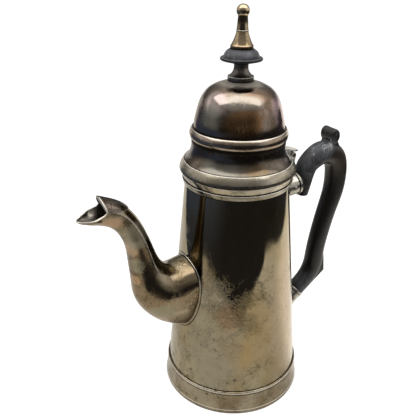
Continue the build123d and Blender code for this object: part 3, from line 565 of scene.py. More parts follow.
def age_group():
    """Wear on a dark moulded piece: pale rubbed patches, thin cracks and a dusty bloom."""
    n, take, give = new_group(
        "Moulded Wear",
        [("Vector", VECTOR, None), ("Ground", COLOUR, None), ("Rubbed", COLOUR, None),
         ("Warm", COLOUR, None), ("Where", FLOAT, 0.0), ("Warm Where", FLOAT, 0.0)],
        [("Color", COLOUR), ("Roughness", FLOAT), ("Height", FLOAT)])
    at = take["Vector"]
    patch = n.spread(n.noise(at, 120, 6, 0.7, 0.5), 0.44, 0.60)
    broad = n.spread(n.noise(at, 45, 3, 0.5), 0.40, 0.62)
    grain = n.noise(n.moved(at, scale=(1, 1, 0.35)), 380, 5, 0.65)
    rubbed = n.times(n.math("MULTIPLY_ADD", patch, 0.55, 0.45), take["Where"])
    # Cracks are where a stretched noise passes its middle value
    veins = n.noise(n.moved(at, rotation=(0.0, 0.75, 0.3), scale=(1, 1, 0.35)), 85, 4, 0.6, 0.4)
    veins = n.math("ABSOLUTE", n.math("SUBTRACT", veins, 0.5))
    line = n.spread(veins, 0.006, 0.016, 1.0, 0.0)
    line = n.times(line, n.spread(take["Where"], 0.35, 0.8))
    line = n.times(line, n.spread(n.noise(at, 70, 2), 0.50, 0.60))
    colour = n.mix(n.times(broad, take["Warm Where"]), take["Ground"], take["Warm"])
    colour = n.mix(rubbed, colour, take["Rubbed"])
    colour = n.mix(n.spread(grain, 0.45, 0.75, 0.0, 0.35), colour, (0.004, 0.0035, 0.003, 1))
    colour = n.mix(line, colour, (0.42, 0.42, 0.40, 1))
    rough = n.math("MULTIPLY_ADD", rubbed, 0.22, 0.24)
    rough = n.math("MULTIPLY_ADD", grain, 0.16, rough)
    height = n.math("ADD", n.times(grain, 0.5), n.times(patch, 0.5))
    n.feed(give, {"Color": colour, "Roughness": rough, "Height": height})
    return n.tree


def group(name):
    """A shared node group, made the first time that a material asks for it."""
    makers = {
        "Tarnish": tarnish_group, "Sheet Waves": hammer_group, "Scratches": scratch_group,
        "Moulded Wear": age_group}
    return bpy.data.node_groups.get(name) or makers[name]()


def finish_metal(n, colour, rough, height, wave, bump, waves):
    """Metal shader with fine relief over the slow waves of the sheet."""
    shader = n.add("ShaderNodeBsdfPrincipled", {"Base Color": colour, "Roughness": rough})
    shader.inputs["Metallic"].default_value = 1.0
    under = n.add("ShaderNodeBump", {"Strength": waves, "Distance": 0.0006, "Height": wave})
    over = n.add(
        "ShaderNodeBump",
        {"Strength": bump, "Distance": 0.00006, "Height": height, "Normal": under.outputs[0]})
    n.tree.links.new(over.outputs[0], shader.inputs["Normal"])
    n.add("ShaderNodeOutputMaterial", {0: shader.outputs[0]})


def new_material(name):
    """An empty material and the helper for its nodes."""
    material = bpy.data.materials.new(name)
    material.use_nodes = True
    material.node_tree.nodes.clear()
    return material, Nodes(material.node_tree)


def plate(name, silver, stain, bloom, share, mottle, pinholes, gloss, haze, regions=(), waves=0.35,
          dings=0.25, bump=0.25, low_stain=None):
    """Silver plate with its own colours and wear. regions are (centre, radii, colour, strength),
    each a soft patch of another tone, and may add how much duller the patch is; some of the patches
    are painted highlights and painted reflections. low_stain is two heights in metres between which
    the mottling and pinholes come in from above."""
    found = bpy.data.materials.get(name)
    if found:
        return found
    material, n = new_material(name)
    at = n.place()
    down = None
    if low_stain:
        z = n.add("ShaderNodeSeparateXYZ", {0: at}).outputs[2]
        down = n.spread(z, low_stain[0], low_stain[1], 1.0, 0.10)
        mottle = n.times(down, mottle)
        pinholes = n.times(down, pinholes)
    skin = n.shared(
        "Tarnish",
        {"Vector": at, "Plate": silver, "Stain": stain, "Bloom": bloom, "Stain Share": share,
         "Mottle": mottle, "Pinholes": pinholes, "Gloss": gloss, "Haze": haze})
    colour = skin.outputs["Color"]
    ragged = n.noise(at, 60, 5, 0.65)
    dull = 0.0
    for centre, radii, tone, strength, *blur in regions:
        edge = n.math("MULTIPLY_ADD", ragged, 0.6, n.near(at, centre, radii))
        mask = n.spread(edge, 0.38, 0.72, 0.0, strength)
        colour = n.mix(mask, colour, tone)
        if blur:
            dull = n.math("MULTIPLY_ADD", mask, blur[0], dull)
    scratch = n.shared("Scratches", {"Vector": at}).outputs[0]
    colour = n.mix(n.times(scratch, 0.12), colour, (0.75, 0.70, 0.60, 1))
    rough = n.math("MULTIPLY_ADD", scratch, 0.12, skin.outputs["Roughness"])
    # Rubbed edges are bright, and on some pieces the rubbed mark is also a painted highlight; grime
    # lies along the seams with a ragged border, as dark dirt and painted shade in the seams
    wear = n.mark("rubbed")
    crumbs = n.noise(at, 520, 3, 0.6)
    wear = n.spread(n.math("MULTIPLY_ADD", n.math("SUBTRACT", crumbs, 0.5), 0.5, wear), 0.25, 0.75)
    # Bright rubbed colour: wear, and a painted highlight where the mark stands for a glint or a lit
    # line
    colour = n.mix(n.times(wear, 0.85), colour, (0.86, 0.82, 0.72, 1))
    grime_and_shade = n.mark("grimy_and_shaded")
    grime_and_shade = n.spread(n.math("MULTIPLY_ADD", n.math("SUBTRACT", crumbs, 0.5), 0.7, grime_and_shade), 0.25, 0.7)
    # Dark seam colour: grime, and painted shade in the seams
    colour = n.mix(n.times(grime_and_shade, 0.93), colour, (0.022, 0.016, 0.010, 1))
    rough = n.math("MULTIPLY_ADD", grime_and_shade, 0.35, rough)
    rough = n.math("MULTIPLY_ADD", wear, 0.30, rough)
    rough = n.math("ADD", rough, dull)
    wave = n.shared("Sheet Waves", {"Vector": at, "Dings": dings}).outputs[0]
    height = skin.outputs["Height"]
    height = n.times(height, down) if low_stain else height
    finish_metal(n, colour, rough, height, wave, bump, waves)
    return material


def moulded(name, ground, rubbed, warm, worn_at, warm_at):
    """Dark moulded composition. worn_at and warm_at are (centre, radii, strength) of its rubbed and
    warm parts."""
    material, n = new_material(name)
    at = n.place()
    where = n.mark("rubbed")
    for centre, radii, strength in worn_at:
        part = n.times(n.spread(n.near(at, centre, radii), 0.0, 0.6), strength)
        where = n.math("MAXIMUM", where, part)
    warmth = 0.0
    for centre, radii, strength in warm_at:
        part = n.times(n.spread(n.near(at, centre, radii), 0.0, 0.6), strength)
        warmth = n.math("MAXIMUM", warmth, part)
    skin = n.shared(
        "Moulded Wear",
        {"Vector": at, "Ground": ground, "Rubbed": rubbed, "Warm": warm, "Where": where,
         "Warm Where": warmth})
    shader = n.add(
        "ShaderNodeBsdfPrincipled",
        {"Base Color": skin.outputs["Color"], "Roughness": skin.outputs["Roughness"]})
    shader.inputs["Specular IOR Level"].default_value = 0.4
    bump = n.add(
        "ShaderNodeBump", {"Strength": 0.35, "Distance": 0.0003, "Height": skin.outputs["Height"]})
    n.tree.links.new(bump.outputs[0], shader.inputs["Normal"])
    n.add("ShaderNodeOutputMaterial", {0: shader.outputs[0]})
    return material


def cover(piece, material):
    """Gives a piece one material."""
    piece.data.materials.clear()
    piece.data.materials.append(material)


# Sizes and colours that a user may change


def tone(name, words, value):
    """A colour that a user may change."""
    return bpy.props.FloatVectorProperty(
        name=name, description=words, default=value, size=4, min=0, max=1, subtype="COLOR")


class CoffeePotLooks(bpy.types.PropertyGroup):
    """Colours and amounts of the pot's finishes."""

    silver: tone("Body Plate", "Tone of the plate on the body", (0.385, 0.325, 0.215, 1))
    stain: tone("Warm Stain", "Golden brown stain on the body", (0.29, 0.20, 0.080, 1))
    bloom: tone("Grey Bloom", "Dull grey film over the plate", (0.27, 0.25, 0.185, 1))
    bright: tone("Rubbed Plate", "Plate on the mouldings and the lid's rim", (0.56, 0.50, 0.40, 1))
    lid: tone("Lid Tarnish", "Brown tarnish on the lid", (0.30, 0.235, 0.18, 1))
    lid_bloom: tone("Lid Bloom", "Pink-grey film on the lid", (0.37, 0.315, 0.29, 1))
    brass: tone("Worn Brass", "Metal under the worn knob", (0.62, 0.48, 0.30, 1))
    handle: tone("Handle", "Ground colour of the handle", (0.0085, 0.007, 0.0055, 1))
    dent_depth: bpy.props.FloatProperty(
        name="Dent Depth", description="How deep the dent in the mouldings is", default=0.0007,
        min=0, max=0.0015, precision=4, subtype="DISTANCE", unit="LENGTH")
    around: bpy.props.IntProperty(
        name="Steps Round", description="Faces round each turned form", default=192, min=48,
        max=384)
    mottling: bpy.props.FloatProperty(
        name="Mottling", description="How strong the fine tarnish is", default=0.9, min=0, max=1,
        subtype="FACTOR")
    lamp: bpy.props.FloatProperty(
        name="Ceiling Light", description="Power of the large soft light", default=7.5, min=0,
        max=60, unit="POWER")


def looks():
    """The pot's own settings."""
    return bpy.context.scene.coffee_pot_looks


def body_plate():
    """Warm plate of the body, mottled towards the foot."""
    own = looks()
    return plate(
        "body plate", own.silver, own.stain, own.bloom, 0.55, own.mottling, 0.9, 0.035, 0.17,
        regions=(
            ((-0.014, -0.044, 0.066), (0.026, 0.03, 0.044), (0.36, 0.26, 0.125, 1), 0.5),
            ((-0.0245, -0.038, 0.077), (0.011, 0.02, 0.013), (0.33, 0.155, 0.045, 1), 0.75),
            ((-0.0140, -0.043, 0.074), (0.010, 0.02, 0.010), (0.19, 0.15, 0.08, 1), 0.6),
            ((-0.034, -0.022, 0.101), (0.010, 0.016, 0.020), (0.25, 0.20, 0.12, 1), 0.8),
            ((-0.018, -0.044, 0.050), (0.012, 0.02, 0.016), (0.38, 0.25, 0.10, 1), 0.40),
            # Pale pinkish patch on the right side: a painted reflection of the pale backdrop
            ((0.026, -0.036, 0.070), (0.030, 0.04, 0.07), (0.47, 0.36, 0.25, 1), 0.55),
            ((-0.036, -0.032, 0.060), (0.028, 0.03, 0.06), (0.29, 0.265, 0.20, 1), 0.5)),
        low_stain=(0.085, 0.120), waves=0.16, bump=0.7)


def dent(angle, z):
    """How far a band is pushed in: a narrow crease on the spout's side that leans as it rises, and
    a shallow hollow beside it. Both are bell curves of the distance across the crease."""
    turn = (angle - math.radians(199.0) + np.pi) % (2 * np.pi) - np.pi
    across = turn * 36.0 + (z - 162.8) * 1.05
    crease = np.exp(-((across / 0.8) ** 2)) + 0.5 * np.exp(-(((across - 2.6) / 2.2) ** 2))
    return looks().dent_depth / MM * crease


# Operators


class PotOperator(bpy.types.Operator):
    """Base of the pot's operators."""

    bl_options = {"REGISTER", "UNDO"}


class POT_OT_stage(PotOperator):
    """Lay the pale floor, hang the soft lights and set the camera."""

    bl_idname = "coffee_pot.stage"
    bl_label = "Stage"

    def execute(self, context):
        scene = context.scene
        scene.view_settings.view_transform = "Standard"
        data = bpy.data.cameras.new("camera")
        data.sensor_width = CAMERA_SENSOR
        data.lens = CAMERA_LENS
        data.clip_start, data.clip_end = 0.01, 20.0
        camera = bpy.data.objects.new("camera", data)
        scene.collection.objects.link(camera)
        turn = np.eye(4)
        turn[:3, 0], turn[:3, 1], turn[:3, 2] = CAMERA_RIGHT, CAMERA_UP, -np.array(CAMERA_AHEAD)
        turn[:3, 3] = CAMERA_PLACE
        camera.matrix_world = Matrix(turn.tolist())
        scene.camera = camera
        # Floor: a flat disc of rings
        angle = circle(96)[None, :]
        radius = np.array([0.0, 60.0, 300.0, 2000.0, 9000.0])[:, None]
        grid = spots(radius * np.cos(angle), radius * np.sin(angle), 0 * angle)
        points, faces, _ = weld([(grid, False, True)])
        mesh = bpy.data.meshes.new("floor")
        mesh.from_pydata(points * MM, [], faces)
        floor = bpy.data.objects.new("floor", mesh)
        scene.collection.objects.link(floor)
        cover(floor, self.floor_material())
        self.world(scene)
        self.lamp("ceiling light", (-0.26, -0.42, 1.20), (1.8, 1.1), looks().lamp)
        self.lamp("side light", (-0.95, 0.15, 0.55), (0.5, 0.7), looks().lamp * 0.22)
        return {"FINISHED"}

    @staticmethod
    def lamp(name, place, size, power):
        """Rectangular soft light that faces the middle of the pot."""
        data = bpy.data.lights.new(name, "AREA")
        data.shape = "RECTANGLE"
        data.size, data.size_y = size
        data.energy = power
        light = bpy.data.objects.new(name, data)
        bpy.context.scene.collection.objects.link(light)
        light.location = place
        light.visible_glossy = False
        look = Vector(LAMP_AIM) - Vector(place)
        light.rotation_euler = look.to_track_quat("-Z", "Y").to_euler()

    @staticmethod
    def floor_material():
        """White floor. The camera sees it lifted to white, and metal sees a table that ends in
        front of the pot, past which the room is dark."""
        material, n = new_material("pale floor")
        at = n.place()
        local = n.moved(at, rotation=(0, 0, FRONT_TURN))
        parts = n.add("ShaderNodeSeparateXYZ", {0: local})
        away = n.math("SQRT", n.math("ADD", n.math("POWER", parts.outputs[0], 2.0),
                                     n.math("POWER", parts.outputs[1], 2.0)))
        # The curve's x is the angle from the front as a share of a turn, its y a share of the reach
        angle = n.math("ARCTAN2", parts.outputs[0], n.times(parts.outputs[1], -1.0))
        share = n.math("MULTIPLY_ADD", angle, 1 / (2 * math.pi), 0.5)
        table_edge = n.add("ShaderNodeFloatCurve", {"Value": share})
        curve = table_edge.mapping.curves[0]
        curve.points[0].location = (0.0, 1.0)
        curve.points[-1].location = (1.0, 1.0)
        for degrees, reach in TABLE_EDGE:
            curve.points.new(degrees / 360 + 0.5, reach / TABLE_REACH)
        table_edge.mapping.update()
        edge = n.times(table_edge.outputs[0], TABLE_REACH * MM)
        past = n.spread(n.math("SUBTRACT", away, edge), -0.004, 0.010)
        behind = n.math("GREATER_THAN", n.math("ABSOLUTE", n.math("SUBTRACT", share, 0.5)), 0.385)
        dark = n.times(past, n.math("SUBTRACT", 1.0, behind))
        cool = n.spread(parts.outputs[0], -0.55, -0.10, 1.0, 0.0)
        room = n.mix(cool, (0.028, 0.028, 0.032, 1), (0.085, 0.105, 0.165, 1))
        table = n.mix(dark, (0.80, 0.77, 0.71, 1), room)
        rays = n.add("ShaderNodeLightPath")
        later = n.spread(away, 0.07, 0.13, 0.8, 0.05)
        again = n.spread(rays.outputs["Ray Depth"], 1.2, 1.8, 1.0, later)
        again = n.times(again, n.spread(share, 0.71, 0.79, 1.0, 1.6))
        white = n.add("ShaderNodeBsdfDiffuse", {"Color": (0.80, 0.80, 0.80, 1)})
        lift = n.add("ShaderNodeEmission", {"Color": (1, 1, 1, 1), "Strength": 0.62})
        seen = n.add("ShaderNodeAddShader", {0: white.outputs[0], 1: lift.outputs[0]})
        shown = n.add("ShaderNodeEmission", {"Color": table, "Strength": again})
        first = n.add(
            "ShaderNodeMixShader",
            {0: rays.outputs["Is Camera Ray"], 1: white.outputs[0], 2: seen.outputs[0]})
        both = n.add(
            "ShaderNodeMixShader",
            {0: rays.outputs["Is Glossy Ray"], 1: first.outputs[0], 2: shown.outputs[0]})
        n.add("ShaderNodeOutputMaterial", {0: both.outputs[0]})
        return material

    @staticmethod
    def world(scene):
        """White to the camera, plain soft light on the object, and in metal a dim room that is
        lighter at the sides and behind."""
        world = bpy.data.worlds.new("studio")
        scene.world = world
        world.use_nodes = True
        world.node_tree.nodes.clear()
        n = Nodes(world.node_tree)
        way = n.add("ShaderNodeTexCoord").outputs["Generated"]
        parts = n.add("ShaderNodeSeparateXYZ", {0: n.moved(way, rotation=(0, 0, FRONT_TURN))})
        aside, ahead, up = parts.outputs
        wide = n.math("ABSOLUTE", aside)
        side = n.times(n.spread(wide, 0.68, 0.97), n.spread(up, -0.10, 0.30, 0.35, 1.0))
        low = n.spread(up, 0.10, 0.42, 0.0, 0.28)
        high = n.spread(up, 0.50, 0.80, 0.0, 0.20)
        floor_line = n.spread(up, 0.04, 0.14, 1.0, 0.0)
        backdrop = n.times(n.spread(ahead, 0.60, 0.70), floor_line)
        # Long panel overhead, wider than deep
        over = n.math("MAXIMUM", up, 0.04)
        left = n.spread(n.math("DIVIDE", wide, over), 1.25, 1.48, 1.0, 0.0)
        depth = n.math("DIVIDE", ahead, over)
        behind = n.spread(depth, 0.34, 0.46, 1.0, 0.0)
        deep = n.times(n.spread(depth, -0.70, -0.63), behind)
        panel = n.times(left, deep)
        room = n.math("ADD", n.math("ADD", low, high), 0.028)
        room = n.math("MULTIPLY_ADD", side, 0.50, room)
        room = n.math("MULTIPLY_ADD", backdrop, 0.95, room)
        room = n.math("MULTIPLY_ADD", panel, 2.0, room)
        crown = n.times(n.spread(depth, 0.40, 0.60), n.spread(depth, 1.0, 1.4, 1.0, 0.0))
        room = n.math("MULTIPLY_ADD", crown, 0.40, room)
        right = n.times(n.spread(aside, 0.55, 0.92), n.spread(up, 0.30, 0.60, 1.0, 0.0))
        room = n.math("MULTIPLY_ADD", right, 0.28, room)
        rays = n.add("ShaderNodeLightPath")
        room = n.times(room, n.spread(rays.outputs["Ray Depth"], 2.2, 2.8, 1.0, 0.45))
        dim = n.mix(1.0, (1.0, 0.99, 0.985, 1), room, "MULTIPLY")
        plain = n.mix(rays.outputs["Is Camera Ray"], (0.52, 0.52, 0.53, 1), (1, 1, 1, 1))
        colour = n.mix(rays.outputs["Is Glossy Ray"], plain, dim)
        back = n.add("ShaderNodeBackground", {"Color": colour, "Strength": 1.0})
        n.add("ShaderNodeOutputWorld", {0: back.outputs[0]})


class POT_OT_body(PotOperator):
    """Turn the tapered body wall and pierce the strainer behind the spout."""

    bl_idname = "coffee_pot.body"
    bl_label = "Body"

    def execute(self, context):
        foot_seam, band_seam = FOOT_H, BAND_SEAM_Z - LOWER_BAND_H
        z = np.unique(
            np.concatenate(
                [np.linspace(FOOT_LEDGE_T, MOUTH_Z, 40), foot_seam + np.array([0, 0.4, 0.8, 1.4]),
                 band_seam - np.array([0, 0.4, 0.8, 1.4])]))
        outer = np.stack([wall_radius(z), z], 1)
        inner = outer[::-1] - [WALL, 0]
        seams = ((wall_radius(foot_seam), foot_seam, 0.7), (wall_radius(band_seam), band_seam, 0.7))
        wall = put(
            "body_wall", ring((outer, inner), 0.12, looks().around, seams=seams), "root",
            ["body_shell"])
        # Strainer: one hole in the middle and two rings round it
        ring_no = np.repeat([0, 1, 2], [1, 6, 12])
        turn = np.concatenate([[0], np.arange(6) / 6, np.arange(12) / 12]) * 2 * np.pi
        across = ring_no * HOLE_PITCH * np.cos(turn)
        along = ring_no * HOLE_PITCH * np.sin(turn)
        angle = circle(20)
        pins = []
        for y, z in zip(across, along + SPOUT_Z):
            depth = np.array([36.0, 36.0, 48.0, 48.0])[:, None]
            reach = np.array([0.0, HOLE_R, HOLE_R, 0.0])[:, None]
            pin = spots(-depth, y + reach * np.cos(angle), z + reach * np.sin(angle))
            pins.append((pin, False, True))
        cutter = put("strainer_pins", pins, "root", [])
        cut = wall.modifiers.new("strainer", "BOOLEAN")
        cut.operation = "DIFFERENCE"
        cut.solver = "EXACT"
        cut.object = cutter
        settle(wall)
        wall.data.set_sharp_from_angle(angle=math.radians(32))
        bpy.data.objects.remove(cutter)
        if len(wall.data.polygons) < 1000:
            raise RuntimeError("the body wall was lost when its strainer was cut")
        cover(wall, body_plate())
        return {"FINISHED"}


class POT_OT_foot(PotOperator):
    """Turn the foot band with its rolled top edge."""

    bl_idname = "coffee_pot.foot"
    bl_label = "Foot Band"

    def execute(self, context):
        own = looks()
        ledge = BASE_R - FOOT_LEDGE_W
        roll_z = FOOT_H - FOOT_ROLL_H
        face_z = (FOOT_LIP_H + roll_z) / 2
        lip = (FOOT_LIP_R - FOOT_T / 3, FOOT_LIP_H)
        top = (wall_radius(roll_z) + FOOT_T, roll_z)
        profile = (
            (ledge, 0), bend((FOOT_LIP_R - FOOT_T, 0), (FOOT_LIP_R, FOOT_LIP_H / 2), lip),
            bend(lip, (wall_radius(face_z) + FOOT_T, face_z), top, 20),
            bend(
                top, (wall_radius(FOOT_H) + FOOT_T + FOOT_ROLL, FOOT_H - FOOT_ROLL_H / 2),
                (wall_radius(FOOT_H) + FOOT_T / 2, FOOT_H)),
            (wall_radius(FOOT_H), FOOT_H), (wall_radius(FOOT_LEDGE_T), FOOT_LEDGE_T),
            (ledge, FOOT_LEDGE_T))
        roll = (wall_radius(FOOT_H) + FOOT_T + FOOT_ROLL, FOOT_H - FOOT_ROLL_H / 2)
        edges = ((roll[0], roll[1] + 0.3, 0.5), (lip[0], lip[1], 0.35))
        seams = ((top[0], top[1], 0.4), (wall_radius(FOOT_H), FOOT_H, 0.5), (FOOT_LIP_R, 0, 1.5))
        piece = put(
            "foot_ring", ring(profile, 0.15, own.around, edges=edges, seams=seams), "root",
            ["foot_band"])
        cover(
            piece,
            plate(
                "foot plate", (0.37, 0.31, 0.22, 1), (0.16, 0.095, 0.035, 1), (0.30, 0.27, 0.20, 1),
                0.65, own.mottling, 0.7, 0.14, 0.30,
                regions=(((0, 0, -0.004), (0.09, 0.09, 0.012), (0.15, 0.09, 0.04, 1), 0.8),)))
        return {"FINISHED"}


class POT_OT_mouldings(PotOperator):
    """Turn the two half-round mouldings under the mouth, with their dent."""

    bl_idname = "coffee_pot.mouldings"
    bl_label = "Mouldings"

    def execute(self, context):
        own = looks()
        for name, low, high, proud, colours in (
            ("upper_band", BAND_SEAM_Z, MOUTH_Z, UPPER_BAND_PROUD,
             (own.bright, (0.42, 0.30, 0.14, 1), (0.40, 0.37, 0.29, 1))),
            ("lower_band", BAND_SEAM_Z - LOWER_BAND_H, BAND_SEAM_Z, LOWER_BAND_PROUD,
             ((0.38, 0.35, 0.275, 1), (0.27, 0.20, 0.12, 1), (0.30, 0.275, 0.21, 1)))
        ):
            # The worn face is nearly flat and leans in towards its foot
            foot_r, head_r = wall_radius(low) + proud * 0.46, wall_radius(high) + proud * 0.97
            face = bend(
                (foot_r, low + 0.35), ((foot_r + head_r) / 2 + 0.10, (low + high) / 2),
                (head_r, high - 0.4), 16)
            profile = (
                (wall_radius(low) - 0.2, low), (foot_r - 0.5, low), face, (head_r - 0.45, high),
                (wall_radius(high) - 0.2, high))
            node = name.replace("_band", "_moulding")
            around = own.around * 2
            grids = ring(
                profile, 0.2, around, dent, ((head_r - 0.1, high - 0.5, 0.3),),
                ((foot_r - 0.3, low, 0.6), (head_r - 0.5, high, 0.5)))
            piece = put(name, grids, "root", [node])
            cover(
                piece,
                plate(
                    f"{node.replace('_', ' ')} plate", *colours, 0.7, 0.8, 0.6, 0.16, 0.30,
                    regions=(
                        # Dark patch over the dent's crease: painted shade in the dent
                        ((-0.0350, -0.0121, 0.1628), (0.0035, 0.0035, 0.006),
                         (0.05, 0.035, 0.02, 1), 0.8),), bump=0.4))
        return {"FINISHED"}


def section_line(t):
    """Crest, keel, half width and crease share of the spout at station numbers t."""
    row = track(SPOUT_STATIONS, t)
    return row[..., 0:2], row[..., 2:4], row[..., 4], row[..., 5]


def spout_skin(t, share, side, lift=0.0):
    """Point of the spout's skin. t is the station number and share runs from the crest at 0 to the
    keel at 1. Above the crease the half width follows a circle through both creases and the crest;
    below it follows an ellipse from a little above its widest line. side is -1 or 1, and lift grows
    the section all round."""
    crest, keel, wide, crease = section_line(t)
    line = keel - crest
    depth = np.linalg.norm(line, axis=-1)
    unit = line / depth[..., None]
    rise = depth * crease + lift
    wide = wide + lift
    radius = (wide**2 + rise**2) / (2 * rise)
    down = share * depth + np.where(share < crease, lift, 0)
    arch = np.sqrt(np.clip(radius**2 - (radius - down) ** 2, 0, None))
    along = np.clip((share - crease) / (1 - crease), 0, 1)
    # The belly starts above its widest line on the neck, so it swells a little below the crease
    swell = 0.46 * np.clip(0.4 + t / 4, 0, 1) * np.clip((9.0 - t) / 2, 0, 1)
    turn = along * (1 + swell) - swell
    belly = wide * np.sqrt(np.clip(1 - turn**2, 0, None) / (1 - swell**2))
    half = np.where(share < crease, np.minimum(arch, wide), belly)
    grow = np.where(share < crease, -lift * (1 - share / crease), lift * along)
    place = crest + unit * (share * depth + grow)[..., None]
    x = -wall_radius(SPOUT_Z) - place[..., 0]
    return np.stack([x, side * half, SPOUT_Z + place[..., 1]], -1)


def side_place(t, share):
    """Side-view place (out, up) of a share of the section at station t."""
    crest, keel, _, _ = section_line(t)
    return crest + (keel - crest) * share[..., None]


def corner_station():
    """Station where the crease reaches the corner of the mouth."""
    t = np.linspace(9, 12, 601)
    _, _, _, crease = section_line(t)
    return crossing((side_place(t, crease)[:, 0] - CORNER_OUT)[:, None], t)[0]


def beak_share(t, corner):
    """Share of the section where the edge of the open beak lies, found by halving."""
    _, _, _, crease_at_corner = section_line(np.array(corner))
    start = side_place(np.array([corner]), np.array([float(crease_at_corner)]))
    edge = np.vstack([start, BEAK_EDGE])
    low, high = np.zeros_like(t), np.ones_like(t)
    for _ in range(30):
        middle = (low + high) / 2
        place = side_place(t, middle)
        above = place[..., 1] > np.interp(place[..., 0], edge[:, 0], edge[:, 1])
        low, high = np.where(above, middle, low), np.where(above, high, middle)
    return (low + high) / 2


def roof_share(q, t):
    """Share for a column of the roof: q is 0 at the crest and 1 at the crease."""
    return section_line(t)[3] * q**2


def belly_share(q, t, edge=None):
    """Share for a column of the belly: q is 0 at the crease or beak's edge and 1 at the keel."""
    crease = section_line(t)[3]
    first = 0.0 if edge is None else np.arcsin(np.clip((edge - crease) / (1 - crease), -0.2, 1))
    return crease + (1 - crease) * np.sin(first + (np.pi / 2 - first) * q)


def mouth_stations(q):
    """Station where each column of the roof meets the line from the corner of the mouth to the tip
    of the hood."""
    t = np.linspace(10, 13, 601)[:, None] + 0 * q[None, :]
    place = side_place(t, roof_share(q[None, :], t))
    corner = corner_station()
    foot = side_place(np.array([corner]), section_line(np.array([corner]))[3])[0]
    lean = np.array(HOOD_TIP) - foot
    cross = (place[..., 0] - foot[0]) * lean[1] - (place[..., 1] - foot[1]) * lean[0]
    found = crossing(cross, t[:, 0])
    found[-1] = corner
    return found


def root_stations(q, share_of, inset=0.0):
    """Station where each column of the skin leaves the wall, an inset inside its outer face."""
    t = np.linspace(0, 3, 601)
    points = spout_skin(t[:, None] + 0 * q[None, :], share_of(q[None, :], t[:, None]), 1)
    beyond = np.hypot(points[..., 0], points[..., 1]) - wall_radius(points[..., 2]) + inset
    return crossing(beyond, t)


class POT_OT_spout(PotOperator):
    """Loft the swan-neck spout with its open beak."""

    bl_idname = "coffee_pot.spout"
    bl_label = "Spout"

    def execute(self, context):
        corner = corner_station()
        roof_q = np.linspace(0, 1, 17)
        belly_q = np.linspace(0, 1, 33)
        rows = np.linspace(0, 1, 120)[:, None]

        def skin(at, share, side, lips=None):
            """Grid of the skin with its marks: the crease is rubbed on the neck, and so are the
            lips; the bright crease line is partly wear and partly a painted highlight."""
            crest, keel, _, crease = section_line(at)
            away = np.abs(share - crease) * np.linalg.norm(keel - crest, axis=-1)
            line = np.clip(1.15 - away / 0.75, 0, 1) * np.clip((at - 2.6) / 2, 0, 1)
            rubbed = line * 0.75 if lips is None else np.maximum(line * 0.75, lips)
            mark = np.stack([rubbed, 0 * rubbed], -1)
            return spout_skin(at, share, side), False, False, mark

        grids = []
        # The sheet starts a little inside the wall's outer face
        roof_root = root_stations(roof_q, roof_share, 0.35)
        belly_root = root_stations(belly_q, belly_share, 0.35)
        belly_root[0] = roof_root[-1]
        for side in (1, -1):
            for q, share_of, start in (
                (roof_q, roof_share, roof_root), (belly_q, belly_share, belly_root)
            ):
                at = start + (corner - start) * rows
                grids.append(skin(at, share_of(q[None, :], at), side))
            grow = np.linspace(0, 1, 16)[:, None]
            at = corner + (mouth_stations(roof_q) - corner) * grow
            lips = (grow > 0.93) + 0 * at
            grids.append(skin(at, roof_share(roof_q[None, :], at), side, lips))
            at = corner + (TIP_STATION - corner) * np.linspace(0, 1, 60)[:, None]
            edge = beak_share(at[:, 0], corner)[:, None]
            edge[0] = section_line(np.array([corner]))[3]
            at = at + 0 * belly_q[None, :]
            share = belly_share(belly_q[None, :], at, edge)
            crest, keel, _, _ = section_line(at)
            away = (share - edge) * np.linalg.norm(keel - crest, axis=-1)
            grids.append(skin(at, share, side, np.clip(1.4 - away / 0.6, 0, 1)))
        piece = put("spout_neck", grids, "root", ["spout"], sharp=40)
        face_out(piece, (-0.075, 0, 0.10))
        harden(piece, SPOUT_SHEET, -1, (spout_plate(), beak_plate(), lip_plate()))
        return {"FINISHED"}


def harden(piece, thickness, offset, skins):
    """Gives an open sheet its thickness. skins are the outer plate, the inner plate where it
    differs, and the plate of the cut edge."""
    wall = piece.modifiers.new("sheet", "SOLIDIFY")
    wall.thickness = thickness * MM
    wall.offset = offset
    wall.use_even_offset = False
    wall.material_offset, wall.material_offset_rim = len(skins) - 2, len(skins) - 1
    for skin in skins:
        piece.data.materials.append(skin)
    settle(piece)
    piece.data.set_sharp_from_angle(angle=math.radians(SHEET_EDGE))


def face_out(piece, inside):
    """Turns an open sheet's faces away from a point inside it, judged by their mean."""
    mesh = piece.data
    centre = np.empty(len(mesh.polygons) * 3)
    normal = np.empty(len(mesh.polygons) * 3)
    mesh.polygons.foreach_get("center", centre)
    mesh.polygons.foreach_get("normal", normal)
    centre, normal = centre.reshape(-1, 3), normal.reshape(-1, 3)
    near = np.linalg.norm(centre - inside, axis=1) < 0.03
    if ((centre[near] - inside) * normal[near]).sum() < 0:
        mesh.flip_normals()


def beak_plate():
    """Dull plate inside the spout."""
    return plate(
        "beak plate", (0.40, 0.37, 0.32, 1), (0.22, 0.18, 0.12, 1), (0.33, 0.32, 0.29, 1), 0.6, 0.6,
        0.3, 0.26, 0.22, waves=0.2)


def lip_plate():
    """Bright cut edge of the sheet."""
    return plate(
        "lip plate", (0.40, 0.37, 0.31, 1), (0.28, 0.23, 0.16, 1), (0.35, 0.33, 0.29, 1), 0.4, 0.5,
        0.3, 0.30, 0.2, waves=0.1)


